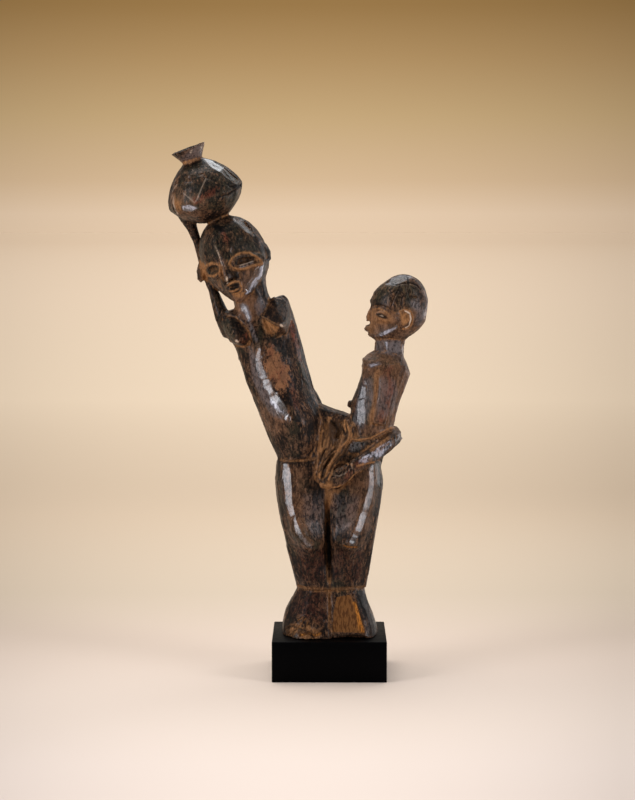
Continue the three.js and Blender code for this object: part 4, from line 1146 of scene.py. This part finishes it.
# Colours of the painted sheen and of painted highlights
PAINTED_GREY_SHEEN = (0.130, 0.125, 0.135)
PAINTED_HIGHLIGHT = (0.38, 0.38, 0.44)
# A lighter brown for worn edges and grain, and for painted light
WORN_AND_LIT_BROWN = (0.24, 0.125, 0.070)
RED_WOOD = (0.15, 0.042, 0.022)
OCHRE_DUST = (0.37, 0.176, 0.068)
BROWN_DUST = (0.180, 0.080, 0.032)
EARTH = (0.24, 0.110, 0.052)
BARE_WOOD = (0.46, 0.170, 0.028)
BARE_BROWN = (0.150, 0.064, 0.020)
BARE_STREAK = (0.050, 0.018, 0.006)
# A pale tone for real scratches and for painted glints and highlights
PALE_SCRATCH_AND_GLINT = (0.56, 0.42, 0.31)

patina, tree, shader = new_material("Patinated wood")
place = tree.nodes.new("ShaderNodeTexCoord").outputs["Object"]
clouds = speckle(tree, place, (1.0, 1.0, 0.6), 75.0, 9.0, 0.78)
grains = speckle(tree, place, (1.0, 1.0, 0.16), 420.0, 4.0, 0.6, 3.0)
specks = speckle(tree, place, (1.0, 1.0, 0.6), 330.0, 6.0, 0.80, 7.0)
dusting = speckle(tree, place, (1.0, 1.0, 0.30), 210.0, 7.0, 0.80, 11.0)
# Lighter brown where the mask marks wear and painted light
worn_and_lit = mask(tree, "worn_and_lit")
brown_share = plus(tree, span(tree, clouds, 0.44, 0.62), times(tree, worn_and_lit, 0.55))
brown_share = minus(tree, brown_share, times(tree, mask(tree, "olive"), 0.6))
dark_tones = speckle(tree, place, (1.0, 1.0, 1.0), 26.0, 4.0, 0.6, 17.0)
olive_share = larger(tree, span(tree, dark_tones, 0.50, 0.60, 0.0, 0.6), mask(tree, "olive"))
dark = blend(tree, olive_share, DARK_PATINA, OLIVE_PATINA)
colour = blend(tree, brown_share, dark, BROWN_PATINA)
lighter = times(tree, worn_and_lit, span(tree, dusting, 0.42, 0.60, 0.0, 0.75))
colour = blend(tree, lighter, colour, WORN_AND_LIT_BROWN)
colour = blend(tree, span(tree, grains, 0.54, 0.66, 0.0, 0.55), colour, WORN_AND_LIT_BROWN)
# Painted sheen and painted highlights, the brightest near white
painted_sheen_share = times(tree, mask(tree, "painted_sheen"), span(tree, clouds, 0.36, 0.58, 0.4, 1.0))
painted_sheen_colour = blend(tree, span(tree, mask(tree, "painted_sheen"), 0.9, 1.1), PAINTED_GREY_SHEEN, PAINTED_HIGHLIGHT)
colour = blend(tree, painted_sheen_share, colour, painted_sheen_colour)
red_share = times(tree, mask(tree, "red"), span(tree, dusting, 0.42, 0.56))
colour = blend(tree, red_share, colour, RED_WOOD)
wear_share = times(tree, mask(tree, "wear"), span(tree, specks, 0.38, 0.60, 0.0, 0.6))
colour = blend(tree, wear_share, colour, WORN_AND_LIT_BROWN)
black_share = minus(tree, span(tree, specks, 0.455, 0.57, 0.0, 0.95), times(tree, worn_and_lit, 0.6))
colour = blend(tree, black_share, colour, BLACK_CRUST_AND_SHADE)
hollow_share = times(tree, mask(tree, "hollow"), span(tree, dusting, 0.40, 0.60, 0.0, 0.8))
painted = times(tree, mask(tree, "dust"), span(tree, dusting, 0.34, 0.54, 0.25, 1.0))
dust_share = larger(tree, hollow_share, painted)
dust_colour = blend(tree, span(tree, specks, 0.35, 0.65), OCHRE_DUST, BROWN_DUST)
colour = blend(tree, dust_share, colour, dust_colour)
crumbs = speckle(tree, place, (1.0, 1.0, 0.7), 150.0, 7.0, 0.80, 21.0)
crumbs = minus(tree, span(tree, crumbs, 0.36, 0.64), 0.40)
earth = mask(tree, "earth")
crumbs = plus(tree, crumbs, times(tree, earth, 0.40))
earth_share = times(tree, span(tree, crumbs, 0.34, 0.44, 0.0, 0.95), span(tree, earth, 0.05, 0.25))
earth_share = times(tree, earth_share, span(tree, specks, 0.54, 0.60, 1.0, 0.25))
earth_colour = blend(tree, span(tree, clouds, 0.46, 0.60, 0.0, 0.6), EARTH, RED_WOOD)
colour = blend(tree, earth_share, colour, earth_colour)
streaks = speckle(tree, place, (1.0, 1.0, 0.03), 480.0, 3.0, 0.6, 5.0)
bare_wood = blend(tree, span(tree, mask(tree, "bare"), 0.7, 1.0), BARE_BROWN, BARE_WOOD)
bare_colour = blend(tree, span(tree, streaks, 0.44, 0.58, 0.0, 0.75), bare_wood, BARE_STREAK)
bare_share = span(tree, plus(tree, mask(tree, "bare"), times(tree, dusting, 0.3)), 0.4, 0.6)
colour = blend(tree, bare_share, colour, bare_colour)
# Black crust, and painted shade in cuts, gaps and hollows
crust_and_shade_share = times(tree, mask(tree, "crust_and_shade"), span(tree, dusting, 0.30, 0.50, 0.75, 1.0))
colour = blend(tree, crust_and_shade_share, colour, BLACK_CRUST_AND_SHADE)
# Pale scratches, and painted glints and highlights
colour = blend(tree, times(tree, mask(tree, "pale"), 0.9), colour, PALE_SCRATCH_AND_GLINT)
tree.links.new(colour, shader.inputs["Base Color"])
matt_share = larger(tree, larger(tree, dust_share, earth_share), bare_share)
matt_share = larger(tree, matt_share, times(tree, crust_and_shade_share, 0.8))
rough = plus(tree, span(tree, specks, 0.35, 0.70, 0.30, 0.50), times(tree, matt_share, 0.4))
tree.links.new(rough, shader.inputs["Roughness"])
shader.inputs["Specular IOR Level"].default_value = 0.08
gloss = larger(tree, span(tree, clouds, 0.46, 0.66, 0.015, 0.20), mask(tree, "gloss"))
coat = times(tree, gloss, minus(tree, 1.0, matt_share))
coat = times(tree, coat, span(tree, specks, 0.42, 0.60, 1.0, 0.7))
tree.links.new(coat, shader.inputs["Coat Weight"])
shader.inputs["Coat Roughness"].default_value = 0.17
shader.inputs["Coat IOR"].default_value = 1.75
pits = speckle(tree, place, (1.0, 1.0, 0.7), 900.0, 3.0, 0.7, 9.0)
pits = times(tree, pits, minus(tree, 0.5, times(tree, bare_share, 0.4)))
height = plus(tree, times(tree, grains, 0.5), pits)
raise_bump(tree, shader, height, 0.6 * MM, 0.7)

lacquer, tree, shader = new_material("Black lacquer")
place = tree.nodes.new("ShaderNodeTexCoord").outputs["Object"]
scuffs = speckle(tree, place, (1.0, 1.0, 1.0), 160.0, 5.0, 0.6)
shader.inputs["Base Color"].default_value = (0.0006, 0.0006, 0.0008, 1.0)
shader.inputs["Specular IOR Level"].default_value = 0.03
tree.links.new(span(tree, scuffs, 0.3, 0.7, 0.34, 0.46), shader.inputs["Roughness"])

figure.data.materials.append(patina)
block.data.materials.append(lacquer)

for piece, node_name, slot_name in (
    (figure, "maternity_figure", "patinated_wood"),
    (block, "mounting_block", "black_lacquer"),
):
    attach(piece, "root")
    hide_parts(node_name)


# The studio: floor, backdrop, camera and lights

FLOOR_SIDE = 120.0
BLACK = (0.0, 0.0, 0.0)
bpy.ops.object.select_all(action="DESELECT")
bpy.ops.mesh.primitive_plane_add(size=FLOOR_SIDE, location=(0.0, 0.0, 0.0))
floor = bpy.context.object
floor.name = "Studio floor"
paper, tree, shader = new_material("Pale paper")
place = tree.nodes.new("ShaderNodeTexCoord").outputs["Object"]
apart = tree.nodes.new("ShaderNodeSeparateXYZ")
tree.links.new(place, apart.inputs[0])
away = math_node(tree, "ADD", apart.outputs["Y"], -CAMERA_PLACE[1], False)
sideways = math_node(tree, "DIVIDE", apart.outputs["X"], away)

# The floor's tones at distances from the camera's place, in metres; darker near the figure and paler far off,
# painted shade and painted light that even out the lamps' fall-off
FLOOR_SPAN = 42.0
FLOOR_TONES = [
    (2.09, (0.698, 0.604, 0.546)),
    (2.36, (0.656, 0.561, 0.489)),
    (2.74, (0.586, 0.482, 0.407)),
    (3.09, (0.572, 0.476, 0.373)),
    (3.90, (0.734, 0.594, 0.453)),
    (6.40, (0.940, 0.785, 0.612)),
    (13.9, (0.932, 0.765, 0.597)),
    (41.0, (0.840, 0.662, 0.492)),
]
tones = tree.nodes.new("ShaderNodeValToRGB")
tree.links.new(math_node(tree, "DIVIDE", away, FLOOR_SPAN), tones.inputs[0])
colour_stops(tones, FLOOR_TONES, FLOOR_SPAN)
shading = times(tree, shade_off(tree, sideways), span(tree, apart.outputs["Y"], -1.8, -0.7))
tree.links.new(blend(tree, shading, tones.outputs["Color"], BLACK), shader.inputs["Base Color"])
shader.inputs["Roughness"].default_value = 0.95
shader.inputs["Specular IOR Level"].default_value = 0.05
floor.data.materials.append(paper)

camera_data = bpy.data.cameras.new("Photograph camera")
camera_data.lens = CAMERA_LENS
camera_data.sensor_width = 36.0
camera_data.sensor_fit = "AUTO"
camera_data.clip_end = 200.0
camera = bpy.data.objects.new("Photograph camera", camera_data)
bpy.context.scene.collection.objects.link(camera)
camera.location = CAMERA_PLACE
camera.rotation_euler = (math.radians(90.0 - CAMERA_DOWN), 0.0, math.radians(CAMERA_TURN))
bpy.context.scene.camera = camera


def soft_box(name, place, aim, width, height, power, colour):
    light_data = bpy.data.lights.new(name, "AREA")
    light_data.shape = "RECTANGLE"
    light_data.size = width
    light_data.size_y = height
    light_data.energy = power
    light_data.spread = math.radians(90.0)
    light_data.color = colour
    light = bpy.data.objects.new(name, light_data)
    bpy.context.scene.collection.objects.link(light)
    light.location = place
    direction = Vector(aim) - Vector(place)
    light.rotation_euler = direction.to_track_quat("-Z", "Y").to_euler()
    light.visible_camera = False


# The lights: where each stands, what it is aimed at, its width and height, its power and its colour
SOFT_BOXES = [
    ("Left soft box", (-1.42, -0.92, 0.76), (0.0, 0.0, 0.40), 0.6, 1.48, 6.0, (0.93, 0.94, 1.0)),
    ("Right soft box", (1.42, -0.88, 0.76), (0.0, 0.0, 0.40), 0.6, 1.48, 5.4, (0.93, 0.94, 1.0)),
    ("Rear soft box", (1.45, 1.20, 1.05), (0.0, 0.0, 0.45), 0.9, 2.00, 3.4, (0.88, 0.94, 1.0)),
    ("Top soft box", (0.10, 1.45, 2.15), (0.0, 0.0, 0.50), 2.2, 0.9, 5.2, (0.88, 0.94, 1.0)),
    ("Low soft box", (1.45, 1.00, 0.16), (-0.08, 0.0, 0.49), 0.8, 0.30, 1.2, (0.86, 0.92, 1.0)),
]
for soft_box_row in SOFT_BOXES:
    soft_box(*soft_box_row)

sky_data = bpy.data.lights.new("Overhead sheet", "SUN")
sky_data.energy = 2.35
sky_data.angle = math.radians(50.0)
sky_data.color = (1.0, 0.985, 0.96)
sky = bpy.data.objects.new("Overhead sheet", sky_data)
bpy.context.scene.collection.objects.link(sky)
sky.rotation_euler = (math.radians(-6.0), math.radians(-12.0), 0.0)

world = bpy.data.worlds.new("Studio backdrop")
bpy.context.scene.world = world
world.use_nodes = True
tree = world.node_tree
background = tree.nodes["Background"]
where = tree.nodes.new("ShaderNodeTexCoord").outputs["Generated"]
parts = tree.nodes.new("ShaderNodeSeparateXYZ")
tree.links.new(where, parts.inputs[0])
ramp = tree.nodes.new("ShaderNodeValToRGB")
tree.links.new(parts.outputs["Z"], ramp.inputs[0])

# The backdrop's tones by how far up one looks
BACKDROP_TONES = [
    (0.0, (0.806, 0.608, 0.428)),
    (0.016, (0.687, 0.491, 0.305)),
    (0.045, (0.569, 0.395, 0.204)),
    (0.073, (0.441, 0.279, 0.124)),
    (0.097, (0.327, 0.191, 0.069)),
    (0.30, (0.127, 0.074, 0.031)),
]
colour_stops(ramp, BACKDROP_TONES)

# What the object reflects and is lit by: a dark room in front and a pale one behind
DARK_ROOM = (0.03, 0.03, 0.03)
PALE_ROOM = (0.42, 0.36, 0.30)
seen = tree.nodes.new("ShaderNodeLightPath").outputs["Is Camera Ray"]
unseen = blend(tree, span(tree, parts.outputs["Y"], -0.45, 0.35), DARK_ROOM, PALE_ROOM)
backdrop = blend(tree, shade_off(tree, parts.outputs["X"]), ramp.outputs["Color"], BLACK)
tree.links.new(blend(tree, seen, unseen, backdrop), background.inputs["Color"])
background.inputs["Strength"].default_value = 1.0

bpy.context.scene.view_settings.view_transform = "Standard"
